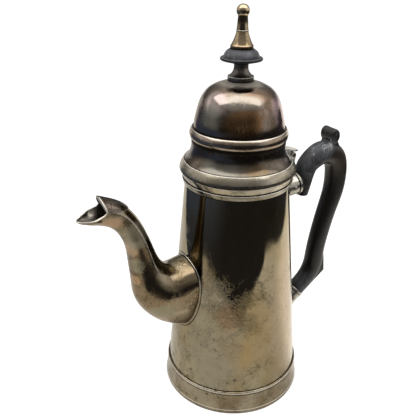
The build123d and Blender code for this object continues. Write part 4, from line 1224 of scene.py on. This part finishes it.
def spout_plate():
    """Brown plate of the spout, with the stains of its neck and root."""
    own = looks()
    return plate(
        "spout plate", (0.325, 0.25, 0.155, 1), (0.27, 0.18, 0.095, 1), (0.235, 0.225, 0.175, 1),
        0.7, own.mottling, 0.6, 0.085, 0.32,
        regions=(
            ((-0.0765, -0.005, 0.1055), (0.004, 0.006, 0.005), (0.56, 0.36, 0.20, 1), 0.7),
            ((-0.0785, -0.005, 0.1285), (0.005, 0.007, 0.007), (0.50, 0.34, 0.22, 1), 0.6),
            ((-0.0760, -0.007, 0.1385), (0.011, 0.009, 0.012), (0.42, 0.37, 0.27, 1), 0.8, 0.30),
            ((-0.0755, -0.007, 0.1165), (0.006, 0.009, 0.007), (0.40, 0.36, 0.245, 1), 0.75, 0.12),
            ((-0.0540, -0.014, 0.0740), (0.016, 0.012, 0.009), (0.46, 0.38, 0.26, 1), 0.7, 0.12),
            ((-0.0910, -0.009, 0.1480), (0.010, 0.010, 0.007), (0.48, 0.30, 0.19, 1), 0.62),
            ((-0.068, -0.014, 0.075), (0.016, 0.014, 0.012), (0.33, 0.24, 0.165, 1), 0.6),
            ((-0.062, -0.014, 0.082), (0.012, 0.010, 0.008), (0.29, 0.27, 0.18, 1), 0.7)),
        waves=0.16, bump=0.5)


class POT_OT_hood(PotOperator):
    """Lay the second sheet over the mouth, with its V-shaped rear edge."""

    bl_idname = "coffee_pot.hood"
    bl_label = "Hood"

    def execute(self, context):
        q = np.linspace(0, 1, 17)
        t = np.linspace(8.5, 11, 501)[:, None] + 0 * q[None, :]
        rear = side_place(np.array([HOOD_REAR]), np.array([0.0]))[0]
        crease = section_line(np.array([HOOD_SIDE]))[3]
        low = side_place(np.array([HOOD_SIDE]), crease)[0] - rear
        place = side_place(t, roof_share(q[None, :], t)) - rear
        start = crossing(place[..., 0] * low[1] - place[..., 1] * low[0], t[:, 0])
        start[0], start[-1] = HOOD_REAR, HOOD_SIDE
        end = mouth_stations(q)
        at = start + (end - start) * np.linspace(0, 1, 40)[:, None]
        grow = np.linspace(0, 1, 40)[:, None]
        front, back = np.clip(1.5 - (1 - grow) * 14, 0, 1), np.clip(1.0 - grow * 22, 0, 1) * 0.7
        # glint is a painted highlight near the hood's front, carried in the rubbed mark with its
        # worn edges
        glint = np.clip(1 - np.abs(q[None, :] - 0.78) * 4, 0, 1) * np.clip(1 - (1 - grow) * 5, 0, 1)
        rubbed = np.maximum(np.maximum(front, back) + 0 * at, glint)
        mark = np.stack([rubbed, 0 * rubbed], -1)
        grids = [
            (spout_skin(at, roof_share(q[None, :], at), side, 0.04), False, False,
             mark) for side in (1, -1)]
        piece = put("spout_cap", grids, "root", ["spout_hood"])
        face_out(piece, (-0.088, 0, 0.153))
        cap = plate("cap plate", (0.20, 0.165, 0.130, 1), (0.13, 0.085, 0.055, 1),
                    (0.19, 0.17, 0.145, 1), 0.7, 0.9, 0.4, 0.09, 0.22, waves=0.2, bump=0.4)
        harden(piece, HOOD_SHEET, 1, (cap, lip_plate()))
        return {"FINISHED"}


class POT_OT_flange(PotOperator):
    """Solder the thin collar on the wall round the spout's root."""

    bl_idname = "coffee_pot.flange"
    bl_label = "Spout Flange"

    def execute(self, context):
        # Root curve on the wall, as arc length round the wall and height
        def root(q, share_of):
            """Points where the skin leaves the wall."""
            at = root_stations(q, share_of)
            return spout_skin(at, share_of(q, at), 1)

        half = np.vstack(
            [root(np.linspace(0, 1, 25), roof_share), root(np.linspace(0, 1, 49), belly_share)[1:]])
        curve = np.vstack([half, (half * [1, -1, 1])[-2:0:-1]])
        turn = np.arctan2(curve[:, 1], -curve[:, 0])
        flat = np.stack([turn * wall_radius(SPOUT_Z), curve[:, 2]], 1)
        step = np.roll(flat, -1, 0) - np.roll(flat, 1, 0)
        out = np.stack([step[:, 1], -step[:, 0]], 1)
        out /= np.linalg.norm(out, axis=1)[:, None]
        if ((flat - flat.mean(0)) * out).sum() < 0:
            out = -out
        profile = soften(FLANGE_SECTION, 0.1)
        away = profile[:, None, 0]
        # The collar's ridge is marked rubbed only from about the spout's middle up, brighter
        # towards the top: wear and a painted highlight
        rubbed = np.clip(1.2 - np.abs(away - 1.2) / 0.4, 0, 1)
        rubbed = rubbed * np.clip((flat[:, 1] - 82) / 20, 0, 0.8)
        # Dark lines at the collar's inner and outer edges: grime, and along the outer edge a
        # painted shadow line on the wall
        grime_and_shade = np.maximum(np.clip((away - 1.45) / 0.12, 0, 1), np.clip(0.9 - away / 0.5, 0, 1))
        mark = np.stack(np.broadcast_arrays(rubbed, grime_and_shade + 0 * rubbed), -1)
        spread = flat[None] + out[None] * profile[:, None, :1]
        height = profile[:, None, 1] + 0 * turn[None]
        angle = spread[..., 0] / wall_radius(SPOUT_Z)
        radius = wall_radius(spread[..., 1]) + height
        grid = np.stack([-radius * np.cos(angle), radius * np.sin(angle), spread[..., 1]], 2)
        piece = put(
            "spout_collar", [(grid, True, True, mark)], "root", ["spout_flange"])
        cover(
            piece,
            plate(
                "collar plate", (0.35, 0.29, 0.20, 1), (0.25, 0.17, 0.09, 1), (0.27, 0.24, 0.18, 1),
                0.5, 0.5, 0.3, 0.10, 0.2))
        return {"FINISHED"}


def socket_axes(which):
    """Foot of a socket on the wall, its direction and the two directions across it."""
    z, tilt, _, _ = SOCKETS[which]
    angle = math.radians(tilt)
    foot = np.array([wall_radius(z), 0.0, z])
    along = np.array([math.cos(angle), 0.0, math.sin(angle)])
    across = np.array([0.0, 1.0, 0.0])
    return foot, along, across, np.cross(along, across)


class POT_OT_sockets(PotOperator):
    """Turn the two handle sockets and their rivets."""

    bl_idname = "coffee_pot.sockets"
    bl_label = "Handle Sockets"

    def execute(self, context):
        skin = plate(
            "socket plate", (0.52, 0.50, 0.45, 1), (0.30, 0.24, 0.15, 1), (0.40, 0.40, 0.38, 1),
            0.6, 0.7, 0.4, 0.16, 0.25, waves=0.12)
        angle = circle(96)
        for which, (_, _, mouth, reach) in SOCKETS.items():
            foot, along, across, up = socket_axes(which)
            around = np.cos(angle)[:, None] * across + np.sin(angle)[:, None] * up

            def root(shrink):
                """Distance along the socket where its wall meets the body, for each angle."""
                far = np.linspace(-9, 12, 421)[:, None]
                radius = mouth + SOCKET_FLARE * (1 - far / reach) - shrink
                points = foot + far[..., None] * along + radius[..., None] * around[None]
                beyond = np.hypot(points[..., 0], points[..., 1]) - wall_radius(points[..., 2])
                return crossing(beyond + 0.3, far[:, 0])

            lip_at = reach - SOCKET_LIP_T
            bare = mouth + SOCKET_FLARE * SOCKET_LIP_T / reach
            lip = soften(
                np.array(
                    [(lip_at - 0.8, bare + SOCKET_FLARE * 0.8 / reach), (lip_at, bare),
                     (lip_at, mouth + SOCKET_LIP), (reach, mouth + SOCKET_LIP),
                     (reach, mouth - SOCKET_WALL), (reach - 2.0, mouth - SOCKET_WALL)]),
                0.35, closed=False)
            outer, inner = root(0.0), root(SOCKET_WALL)
            grow = np.linspace(0, 1, 12)[:, None]
            far_out = outer + (lip[0, 0] - outer) * grow
            far_in = lip[-1, 0] + (inner - lip[-1, 0]) * grow
            far = np.vstack([far_out, lip[1:-1, :1] + 0 * angle[None], far_in])
            radius = np.vstack(
                [mouth + SOCKET_FLARE * (1 - far_out / reach), lip[1:-1, 1:] + 0 * angle[None],
                 mouth + SOCKET_FLARE * (1 - far_in / reach) - SOCKET_WALL])
            grid = foot + far[..., None] * along + radius[..., None] * around[None]
            outside = np.arange(len(far))[:, None] < len(far_out) + 9
            rubbed = np.clip(1.3 - np.abs(far - reach + 0.3) / 0.5, 0, 1) * outside
            # Grime under the lip and where the cup meets the wall: dirt with painted shade in those
            # recesses
            grime_and_shade = np.clip(1.2 - np.abs(far - lip_at + 0.1) / 0.6, 0, 1) * outside
            grime_and_shade = np.maximum(grime_and_shade, np.clip(1.3 - np.abs(far - outer[None, :]) / 1.0, 0, 1))
            mark = np.stack([rubbed, grime_and_shade], -1)
            cup = put(
                f"{which}_cup", [(grid, True, True, mark)], "root",
                [f"{which}_socket"])
            cover(cup, skin)
            # Rivet: a shank with a low dome at each end
            head = mouth + SOCKET_FLARE * (1 - RIVET_AT)
            dome = bend((RIVET_HEAD_R, head + 0.05), (RIVET_HEAD_R * 0.72, head + 0.42),
                        (0.0, head + RIVET_HEAD_T), 10)
            half = np.vstack(
                [[(RIVET_R, 0.0)], [(RIVET_R, head - 1.2)], [(RIVET_HEAD_R, head - 1.0)], dome])
            profile = np.vstack([(half * [1, -1])[::-1], half[1:]])
            turn = circle(40)
            centre = foot + along * reach * RIVET_AT
            r, y = profile[:, :1], profile[:, 1:]
            grid = spots(centre[0] + r * np.cos(turn), y + 0 * turn, centre[2] + r * np.sin(turn))
            rivet = put(
                f"{which}_rivet", [(grid, False, True)], "root",
                [f"{which}_handle_pin"])
            cover(rivet, skin)
        return {"FINISHED"}


def handle_place(share, out):
    """Point of the handle's plane from a share of the rise between its ends and a distance out."""
    low, high = np.array(HANDLE_FOOT), np.array(HANDLE_HEAD)
    share = np.asarray(share, float)
    place = low + (high - low) * share[..., None]
    place[..., 0] += out
    return place


def slab(corners, half):
    """Closed prism of a side outline: the outline at -half and +half, closed by its middle."""
    points = np.array([handle_place(*corner) for corner in corners])
    points = np.vstack([points])
    middle = points.mean(0)
    rows = [middle + 0 * points, points, points, middle + 0 * points]
    grid = np.stack(rows)
    grid[:2, :, 1] = -half
    grid[2:, :, 1] = half
    return grid, False, True


class POT_OT_handle(PotOperator):
    """Carve the scroll handle: the grip, its scroll, its neck and its spur in one skin."""

    bl_idname = "coffee_pot.handle"
    bl_label = "Handle"

    def execute(self, context):
        t = np.linspace(0, len(HANDLE_STATIONS) - 1, 241)
        share, out, heading, thick, wide = track(HANDLE_STATIONS, t).T
        # The foot of the grip is worn thinner than the rest
        thick = thick - 0.55 * np.clip((t - 11) / 3, 0, 1)
        centre = handle_place(share, out)
        angle = np.radians(heading)
        normal = np.stack([-np.sin(angle), 0 * angle, np.cos(angle)], 1)
        turn = circle(64)
        # Section: a rounded square whose sides follow a power of the cosine and sine
        power = 2 / 2.5
        across = np.sign(np.cos(turn)) * np.abs(np.cos(turn)) ** power
        upward = np.sign(np.sin(turn)) * np.abs(np.sin(turn)) ** power
        sideways = (wide[:, None] * across)[..., None] * np.array([0.0, 1.0, 0.0])
        grip = centre[:, None] + sideways + (thick[:, None] * upward)[..., None] * normal[:, None]
        ends = centre[[0, -1], None, None] + 0 * grip[:1]
        grip = np.concatenate([ends[0], grip, ends[1]])
        grids = [(grip, False, True)]
        # Tenons that go into the sockets
        for which, (_, _, mouth, reach) in SOCKETS.items():
            foot, along, over, up = socket_axes(which)
            radius = np.array([0.0, 1.0, 1.0, 0.0])[:, None] * (mouth - SOCKET_WALL - 0.1)
            far = np.array([reach - 8.0, reach - 8.0, reach + 3.0, reach + 3.0])[:, None]
            ringed = np.cos(turn)[:, None] * over + np.sin(turn)[:, None] * up
            grids.append(
                (foot + far[..., None] * along + radius[..., None] * ringed[None], False, True))
        grids.append(slab(SCROLL_NECK, SCROLL_NECK_W / 2))
        grids.append(slab(SPUR, SPUR_W / 2))
        # Scroll: an oval bobbin whose ends are hollowed round a small boss
        y, size = SCROLL_ENDS.T
        middle = handle_place(*SCROLL_PLACE)
        bobbin = spots(
            middle[0] + SCROLL_DEEP * size[:, None] * np.cos(turn), y[:, None] + 0 * turn,
            middle[2] + SCROLL_TALL * size[:, None] * np.sin(turn))
        grids.append((bobbin, False, True))
        piece = put("handle_scroll", grids, "root", ["handle"])
        skin = piece.modifiers.new("one skin", "REMESH")
        skin.mode = "VOXEL"
        skin.voxel_size = 0.42 * MM
        ease = piece.modifiers.new("eased edges", "SMOOTH")
        ease.factor = 0.5
        ease.iterations = 6
        settle(piece)
        cover(
            piece,
            moulded(
                "handle composition", looks().handle, (0.115, 0.12, 0.13, 1),
                (0.045, 0.030, 0.020, 1),
                worn_at=(
                    ((0.055, -0.004, 0.163), (0.010, 0.014, 0.018), 0.5),
                    ((0.066, -0.004, 0.172), (0.014, 0.016, 0.012), 1.0),
                    ((0.079, -0.002, 0.187), (0.010, 0.012, 0.008), 0.35),
                    ((0.064, -0.006, 0.060), (0.012, 0.012, 0.014), 0.40)),
                warm_at=(
                    ((0.088, 0.0, 0.155), (0.020, 0.02, 0.034), 0.9),
                    ((0.080, 0.0, 0.180), (0.014, 0.014, 0.014), 0.8))))
        return {"FINISHED"}


class POT_OT_lid(PotOperator):
    """Turn the lid: rim, inner collar, cove, bead and dome."""

    bl_idname = "coffee_pot.lid"
    bl_label = "Lid"

    def execute(self, context):
        own = looks()
        brown = plate(
            "lid plate", own.lid, (0.20, 0.125, 0.07, 1), own.lid_bloom, 0.75, 0.8, 0.35, 0.075,
            0.20,
            regions=(
                ((0.0, 0.0, 0.2240), (0.020, 0.020, 0.010), (0.44, 0.41, 0.35, 1), 0.9, 0.55),
                # Painted highlights: a pale patch where the overhead light shows on the dome's
                # front, and a pinkish one to its left
                ((-0.0115, -0.0195, 0.2155), (0.017, 0.013, 0.006), (0.40, 0.36, 0.30, 1), 0.8),
                ((-0.0235, -0.0085, 0.2140), (0.012, 0.012, 0.010), (0.46, 0.37, 0.345, 1), 0.8),
                ((-0.027, -0.008, 0.204), (0.010, 0.012, 0.014), (0.20, 0.215, 0.185, 1), 0.6),
                ((0.0165, -0.0225, 0.2085), (0.012, 0.012, 0.014), (0.42, 0.30, 0.30, 1), 0.8),
                ((-0.0125, -0.0255, 0.205), (0.017, 0.014, 0.011), (0.34, 0.185, 0.078, 1), 0.85)),
            waves=0.34, bump=0.4)
        rubbed = plate(
            "rim plate", (0.46, 0.41, 0.32, 1), (0.33, 0.26, 0.15, 1), (0.38, 0.36, 0.30, 1), 0.6,
            0.8, 0.5, 0.18, 0.25, bump=0.4)
        dark = plate(
            "cove plate", (0.165, 0.130, 0.100, 1), (0.085, 0.050, 0.028, 1),
            (0.215, 0.195, 0.165, 1), 0.6, 0.5, 0.3, 0.15, 0.20,
            regions=(
                # Grey patch on the cove's left side: a painted reflection where the wall is seen at
                # a glancing angle
                ((-0.026, -0.020, 0.178), (0.014, 0.016, 0.014), (0.24, 0.235, 0.20, 1), 0.6),
                ((-0.006, -0.033, 0.176), (0.010, 0.01, 0.007), (0.19, 0.13, 0.06, 1), 0.5)),
            waves=0.28)
        inside = plate(
            "inner plate", (0.50, 0.44, 0.33, 1), (0.30, 0.20, 0.10, 1), (0.38, 0.35, 0.28, 1), 0.6,
            0.6, 0.5, 0.2, 0.3)
        edge = (RIM_R, RIM_Z + RIM_EDGE_H)
        slope = ((RIM_R + RIM_TOP_R) / 2 + 0.2, (edge[1] + COVE_Z) / 2 + 0.2)
        rim = (
            (BEZEL_R - 0.05, RIM_Z), (RIM_R - RIM_BEVEL, RIM_Z), (RIM_R, RIM_Z + RIM_BEVEL),
            bend(edge, slope, (RIM_TOP_R, COVE_Z)), (COVE_FOOT_R - LID_WALL, COVE_Z),
            (COVE_FOOT_R - LID_WALL, COVE_Z - LID_WALL), (BEZEL_R - 0.05, RIM_Z + BEZEL_HOLD))
        bezel = (
            (BEZEL_R, RIM_Z + BEZEL_HOLD), (BEZEL_R, RIM_Z),
            (BEZEL_R - BEZEL_TAPER, RIM_Z - BEZEL_DEPTH),
            (BEZEL_R - BEZEL_TAPER - LID_WALL, RIM_Z - BEZEL_DEPTH), (BEZEL_R - LID_WALL, RIM_Z),
            (BEZEL_R - LID_WALL, RIM_Z + BEZEL_HOLD))
        neck = BEAD_Z - COVE_NECK_H
        hollow = outline(
            (COVE_TOP_R, BEAD_Z), leave((COVE_TOP_R, neck), (0, -1), (COVE_FOOT_R, COVE_Z), 24))
        inner = outline(
            leave((COVE_TOP_R - LID_WALL, neck), (0, -1), (COVE_FOOT_R - LID_WALL, COVE_Z), 24))
        cove = (
            hollow, inner[::-1], (COVE_TOP_R - LID_WALL, BEAD_Z - LID_WALL),
            (DOME_R - LID_WALL, BEAD_Z - LID_WALL), (DOME_R - LID_WALL, BEAD_Z))
        bead = (
            (DOME_R - 0.05, BEAD_Z),
            bend(
                (COVE_TOP_R + 0.5, BEAD_Z), (BEAD_R, BEAD_Z + BEAD_H * 0.45),
                (DOME_R + LID_WALL, BEAD_Z + BEAD_H), 22),
            (DOME_R - 0.05, BEAD_Z + BEAD_H))
        shape = track(DOME_SHOULDER, np.linspace(0, len(DOME_SHOULDER) - 1, 110))
        skin = np.stack([DOME_R * shape[:, 0], BEAD_Z + DOME_H * shape[:, 1]], 1)
        step = np.gradient(skin, axis=0)
        inward = np.stack([-step[:, 1], step[:, 0]], 1)
        inward /= np.linalg.norm(inward, axis=1)[:, None]
        lining = skin + inward * LID_WALL
        dome = (
            skin, (DOME_EYE_R - 0.6, EYE_Z), (BORE_R, EYE_Z), (BORE_R, EYE_Z - LID_WALL),
            (DOME_EYE_R - 0.8, EYE_Z - LID_WALL), lining[::-1])
        bead_top = (DOME_R + LID_WALL, BEAD_Z + BEAD_H)
        for name, profile, slot, node, skin_of, edges, seams in (
            ("lid_edge", rim, "moulding_silver", "lid_rim", rubbed,
             ((RIM_TOP_R, COVE_Z - 0.1, 0.4),),
             ((RIM_R - 0.2, RIM_Z + 0.2, 1.1), (RIM_TOP_R - 0.5, COVE_Z, 0.35))),
            ("lid_collar", bezel, "base_silver", "lid_bezel", inside, (), ()),
            ("lid_hollow", cove, "lid_silver", "lid_cove", dark, (),
             ((COVE_FOOT_R, COVE_Z, 0.5), (COVE_TOP_R, BEAD_Z, 2.6))),
            ("lid_band", bead, "moulding_silver", "lid_bead", bead_plate(),
             ((bead_top[0] + 0.25, bead_top[1] - 0.5, 0.4),),
             ((bead_top[0], bead_top[1], 0.3), (COVE_TOP_R + 0.5, BEAD_Z, 0.8))),
            ("lid_crown", dome, "lid_silver", "lid_dome", brown, (),
             ((DOME_R, BEAD_Z + BEAD_H, 1.0), (DOME_EYE_R - 0.6, EYE_Z, 0.5)))
        ):
            grids = ring(profile, 0.18, own.around, edges=edges, seams=seams)
            cover(put(name, grids, "lid", [node]), skin_of)
        return {"FINISHED"}


def bead_plate():
    """Rubbed plate of the lid's bead."""
    own = looks()
    return plate(
        "bead plate", (0.46, 0.39, 0.31, 1), (0.26, 0.17, 0.09, 1), own.lid_bloom, 0.6, 0.5, 0.3,
        0.12, 0.22)


class POT_OT_knob(PotOperator):
    """Turn the knob: its foot, its disc and its spire."""

    bl_idname = "coffee_pot.knob"
    bl_label = "Knob"

    def execute(self, context):
        own = looks()
        step = 0.5
        waist_z = DISC_Z - 2.0
        band = EYE_Z + 2.9
        foot = (
            (BORE_R, EYE_Z), (KNOB_FOOT_R, EYE_Z), (KNOB_FOOT_R, EYE_Z + 1.5), (KNOB_FOOT_R, band),
            leave((KNOB_WAIST_R, waist_z), (0, -1), (7.7, band + 0.15), 20)[::-1],
            (KNOB_WAIST_R, DISC_Z), (BORE_R, DISC_Z))
        rim = DISC_Z + 3.6
        disc = (
            (BORE_R, DISC_Z), (DISC_SEAT_R, DISC_Z),
            bend((DISC_R - step, rim - 1.7), (DISC_R, rim - 0.85), (DISC_R - step, rim)),
            bend((11.0, rim + 0.15), (9.95, rim + 3.0), (SPIRE_R, SPIRE_Z), 24), (BORE_R, SPIRE_Z))
        ring_z, neck_z = SPIRE_Z + 10.2, SPIRE_Z + 18.6
        top = SPIRE_Z + 1.9
        ball_z = neck_z + math.sqrt(BALL_R**2 - SPIRE_NECK_R**2)
        spire = soften(
            outline(
                (0, SPIRE_Z + 8.0), (STUD_R, SPIRE_Z + 8.0), (STUD_R, SPIRE_Z), (SPIRE_R, SPIRE_Z),
                (SPIRE_R, top),
                bend(
                    (SPIRE_R - step, top + step), (4.9, (top + ring_z) / 2), (SPIRE_RING_R, ring_z),
                    20),
                bend((SPIRE_RING_R, ring_z), (3.9, ring_z + 0.25), (SPIRE_RING_R, ring_z + 0.5), 6),
                (SPIRE_NECK_R, neck_z),
                bend((SPIRE_NECK_R, neck_z), (BALL_R, ball_z), (0, ball_z + BALL_R), 40)),
            0.15, closed=False)
        spire_marks = marked(
            spire, ((3.9, ring_z + 0.3, 0.3),),
            ((SPIRE_R, SPIRE_Z, 0.8), (2.9, neck_z, 0.7), (SPIRE_RING_R, ring_z - 0.1, 0.25)))
        worn = plate(
            "worn brass", own.brass, (0.24, 0.155, 0.075, 1), (0.40, 0.35, 0.26, 1), 0.75, 0.7, 0.5,
            0.09, 0.20, waves=0.1, bump=0.08)
        dark = plate(
            "knob foot plate", (0.27, 0.24, 0.215, 1), (0.12, 0.095, 0.07, 1),
            (0.32, 0.305, 0.29, 1), 0.6, 0.6, 0.4, 0.27, 0.25, waves=0.1)
        grids = ring(
            foot, 0.12, KNOB_STEPS, edges=((KNOB_FOOT_R, band, 0.35),),
            seams=((KNOB_FOOT_R, EYE_Z, 0.7),))
        cover(put("knob_foot", grids, "lid", ["finial_foot"]), dark)
        edges = ((12.6, rim + 0.05, 0.45), (9.5, SPIRE_Z - 2.2, 3.4))
        button = put(
            "knob_disc", ring(disc, 0.15, KNOB_STEPS, edges=edges), "lid",
            ["finial_disc"])
        cover(
            button,
            moulded(
                "disc composition", (0.010, 0.010, 0.011, 1), (0.135, 0.137, 0.150, 1),
                (0.05, 0.04, 0.03, 1),
                # The patch on the disc's top at the left is partly wear and partly a painted
                # highlight
                worn_at=(((-0.008, -0.006, 0.242), (0.006, 0.006, 0.006), 1.0),),
                warm_at=(((0.0, 0.0, 0.236), (0.02, 0.02, 0.01), 0.4),)))
        cover(
            put(
                "knob_spire", [(turned(spire, KNOB_STEPS), False, True, spire_marks)], "lid",
                ["finial_spire"]), worn)
        return {"FINISHED"}


def hinge_plate():
    """Pale dull metal of the hinge."""
    return plate(
        "hinge plate", (0.88, 0.88, 0.82, 1), (0.52, 0.46, 0.34, 1), (0.80, 0.80, 0.76, 1), 0.35,
        0.5, 0.5, 0.42, 0.2, waves=0.1)


def leaf_place(along, off, y):
    """Point of the lid's hinge leaf: along its slope, off the hinge's axis and across the pot."""
    slope = math.radians(LEAF_DIP)
    x = HINGE_X + along * math.cos(slope) + off * math.sin(slope)
    z = HINGE_Z - along * math.sin(slope) + off * math.cos(slope)
    return spots(x, y, z)


def block(rings):
    """Closed form from rings of equal length, with each end closed by its middle point."""
    first, last = rings[0].mean(0) + 0 * rings[0], rings[-1].mean(0) + 0 * rings[-1]
    return np.stack([first, *rings, last]), False, True


class POT_OT_hinge(PotOperator):
    """Cut the lid's half of the hinge: strap, tapered tail and middle knuckle."""

    bl_idname = "coffee_pot.hinge"
    bl_label = "Lid Hinge"

    def execute(self, context):
        plan = soften(divide(np.vstack([LEAF_PLAN, LEAF_PLAN[:1]]), 0.8)[:-1], 0.5)
        middle = np.array([-1.0, 0.0])
        rings = []
        for off, shrink in LEAF_SECTION:
            shape = middle + (plan - middle) * shrink
            rings.append(leaf_place(shape[:, 0], off, shape[:, 1]))
        # The strap's top face is marked rubbed: wear, and painted light that makes the top face
        # brighter
        top = np.clip(np.arange(7) - 3, 0, 1)[:, None] * 0.55
        top = top + 0 * plan[None, :, 0]
        strap = (*block(rings), np.stack([top, 0 * top], -1))
        turn = circle(40)
        y = np.array([-2.5, -2.5, -2.35, 2.35, 2.5, 2.5])[:, None]
        r = np.array([0.9, 1.8, 2.0, 2.0, 1.8, 0.9])[:, None]
        knuckle = spots(HINGE_X + r * np.cos(turn), y, HINGE_Z + r * np.sin(turn))
        web = np.array([(-1.2, 0.9), (-1.2, 2.8), (1.2, 2.8), (1.2, 0.9)])
        rest = np.array([(-7.4, 2.4), (-2.4, 2.4), (-2.9, -0.8), (-6.6, -2.6)])
        grids = [strap, (knuckle, True, True)]
        for shape, half in ((web, 2.5), (rest, 4.9)):
            sides = [leaf_place(shape[:, 0], shape[:, 1], side * half) for side in (-1, 1)]
            grids.append(block(sides))
        leaf = put("lid_leaf", grids, "lid", ["hinge_lid_leaf"])
        cover(leaf, hinge_plate())
        return {"FINISHED"}


class POT_OT_fittings(PotOperator):
    """Finish the CAD pieces that stay: hinge, fasteners and base plate."""

    bl_idname = "coffee_pot.fittings"
    bl_label = "Hinge and Fasteners"

    def execute(self, context):
        grey = hinge_plate()
        steel = plate(
            "fastener metal", (0.42, 0.36, 0.26, 1), (0.22, 0.15, 0.08, 1), (0.36, 0.34, 0.30, 1),
            0.6, 0.6, 0.5, 0.22, 0.25, waves=0.1)
        base = plate(
            "base plate metal", (0.44, 0.39, 0.29, 1), (0.22, 0.15, 0.07, 1), (0.33, 0.30, 0.25, 1),
            0.7, 0.8, 0.8, 0.22, 0.30)
        shown = {
            "hinge_body_leaf": grey, "hinge_pin": steel, "finial_stud": steel,
            "finial_washer": steel, "finial_nut": steel, "base_plate": base}
        for node, material in shown.items():
            cover(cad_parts[node], material)
        return {"FINISHED"}


class POT_PT_panel(bpy.types.Panel):
    """Lists the pot's pieces and its finishes."""

    bl_label = "Coffee Pot"
    bl_idname = "POT_PT_panel"
    bl_space_type = "VIEW_3D"
    bl_region_type = "UI"
    bl_category = "Coffee Pot"

    def draw(self, context):
        layout = self.layout
        for operator in OPERATORS:
            layout.operator(operator.bl_idname)
        for name in CoffeePotLooks.__annotations__:
            layout.prop(context.scene.coffee_pot_looks, name)


OPERATORS = (
    POT_OT_stage, POT_OT_body, POT_OT_foot, POT_OT_mouldings, POT_OT_spout, POT_OT_hood,
    POT_OT_flange, POT_OT_sockets, POT_OT_handle, POT_OT_lid, POT_OT_knob, POT_OT_hinge,
    POT_OT_fittings)
CLASSES = (CoffeePotLooks, *OPERATORS, POT_PT_panel)


def register():
    """Registers the classes and gives each scene the pot's settings."""
    for item in CLASSES:
        bpy.utils.register_class(item)
    bpy.types.Scene.coffee_pot_looks = bpy.props.PointerProperty(type=CoffeePotLooks)


def unregister():
    """Takes away what register gave."""
    del bpy.types.Scene.coffee_pot_looks
    for item in reversed(CLASSES):
        bpy.utils.unregister_class(item)


def main():
    register()
    for step in (
        bpy.ops.coffee_pot.stage, bpy.ops.coffee_pot.body, bpy.ops.coffee_pot.foot,
        bpy.ops.coffee_pot.mouldings, bpy.ops.coffee_pot.spout, bpy.ops.coffee_pot.hood,
        bpy.ops.coffee_pot.flange, bpy.ops.coffee_pot.sockets, bpy.ops.coffee_pot.handle,
        bpy.ops.coffee_pot.lid, bpy.ops.coffee_pot.knob, bpy.ops.coffee_pot.hinge,
        bpy.ops.coffee_pot.fittings
    ):
        step()


if __name__ == "__main__":
    main()
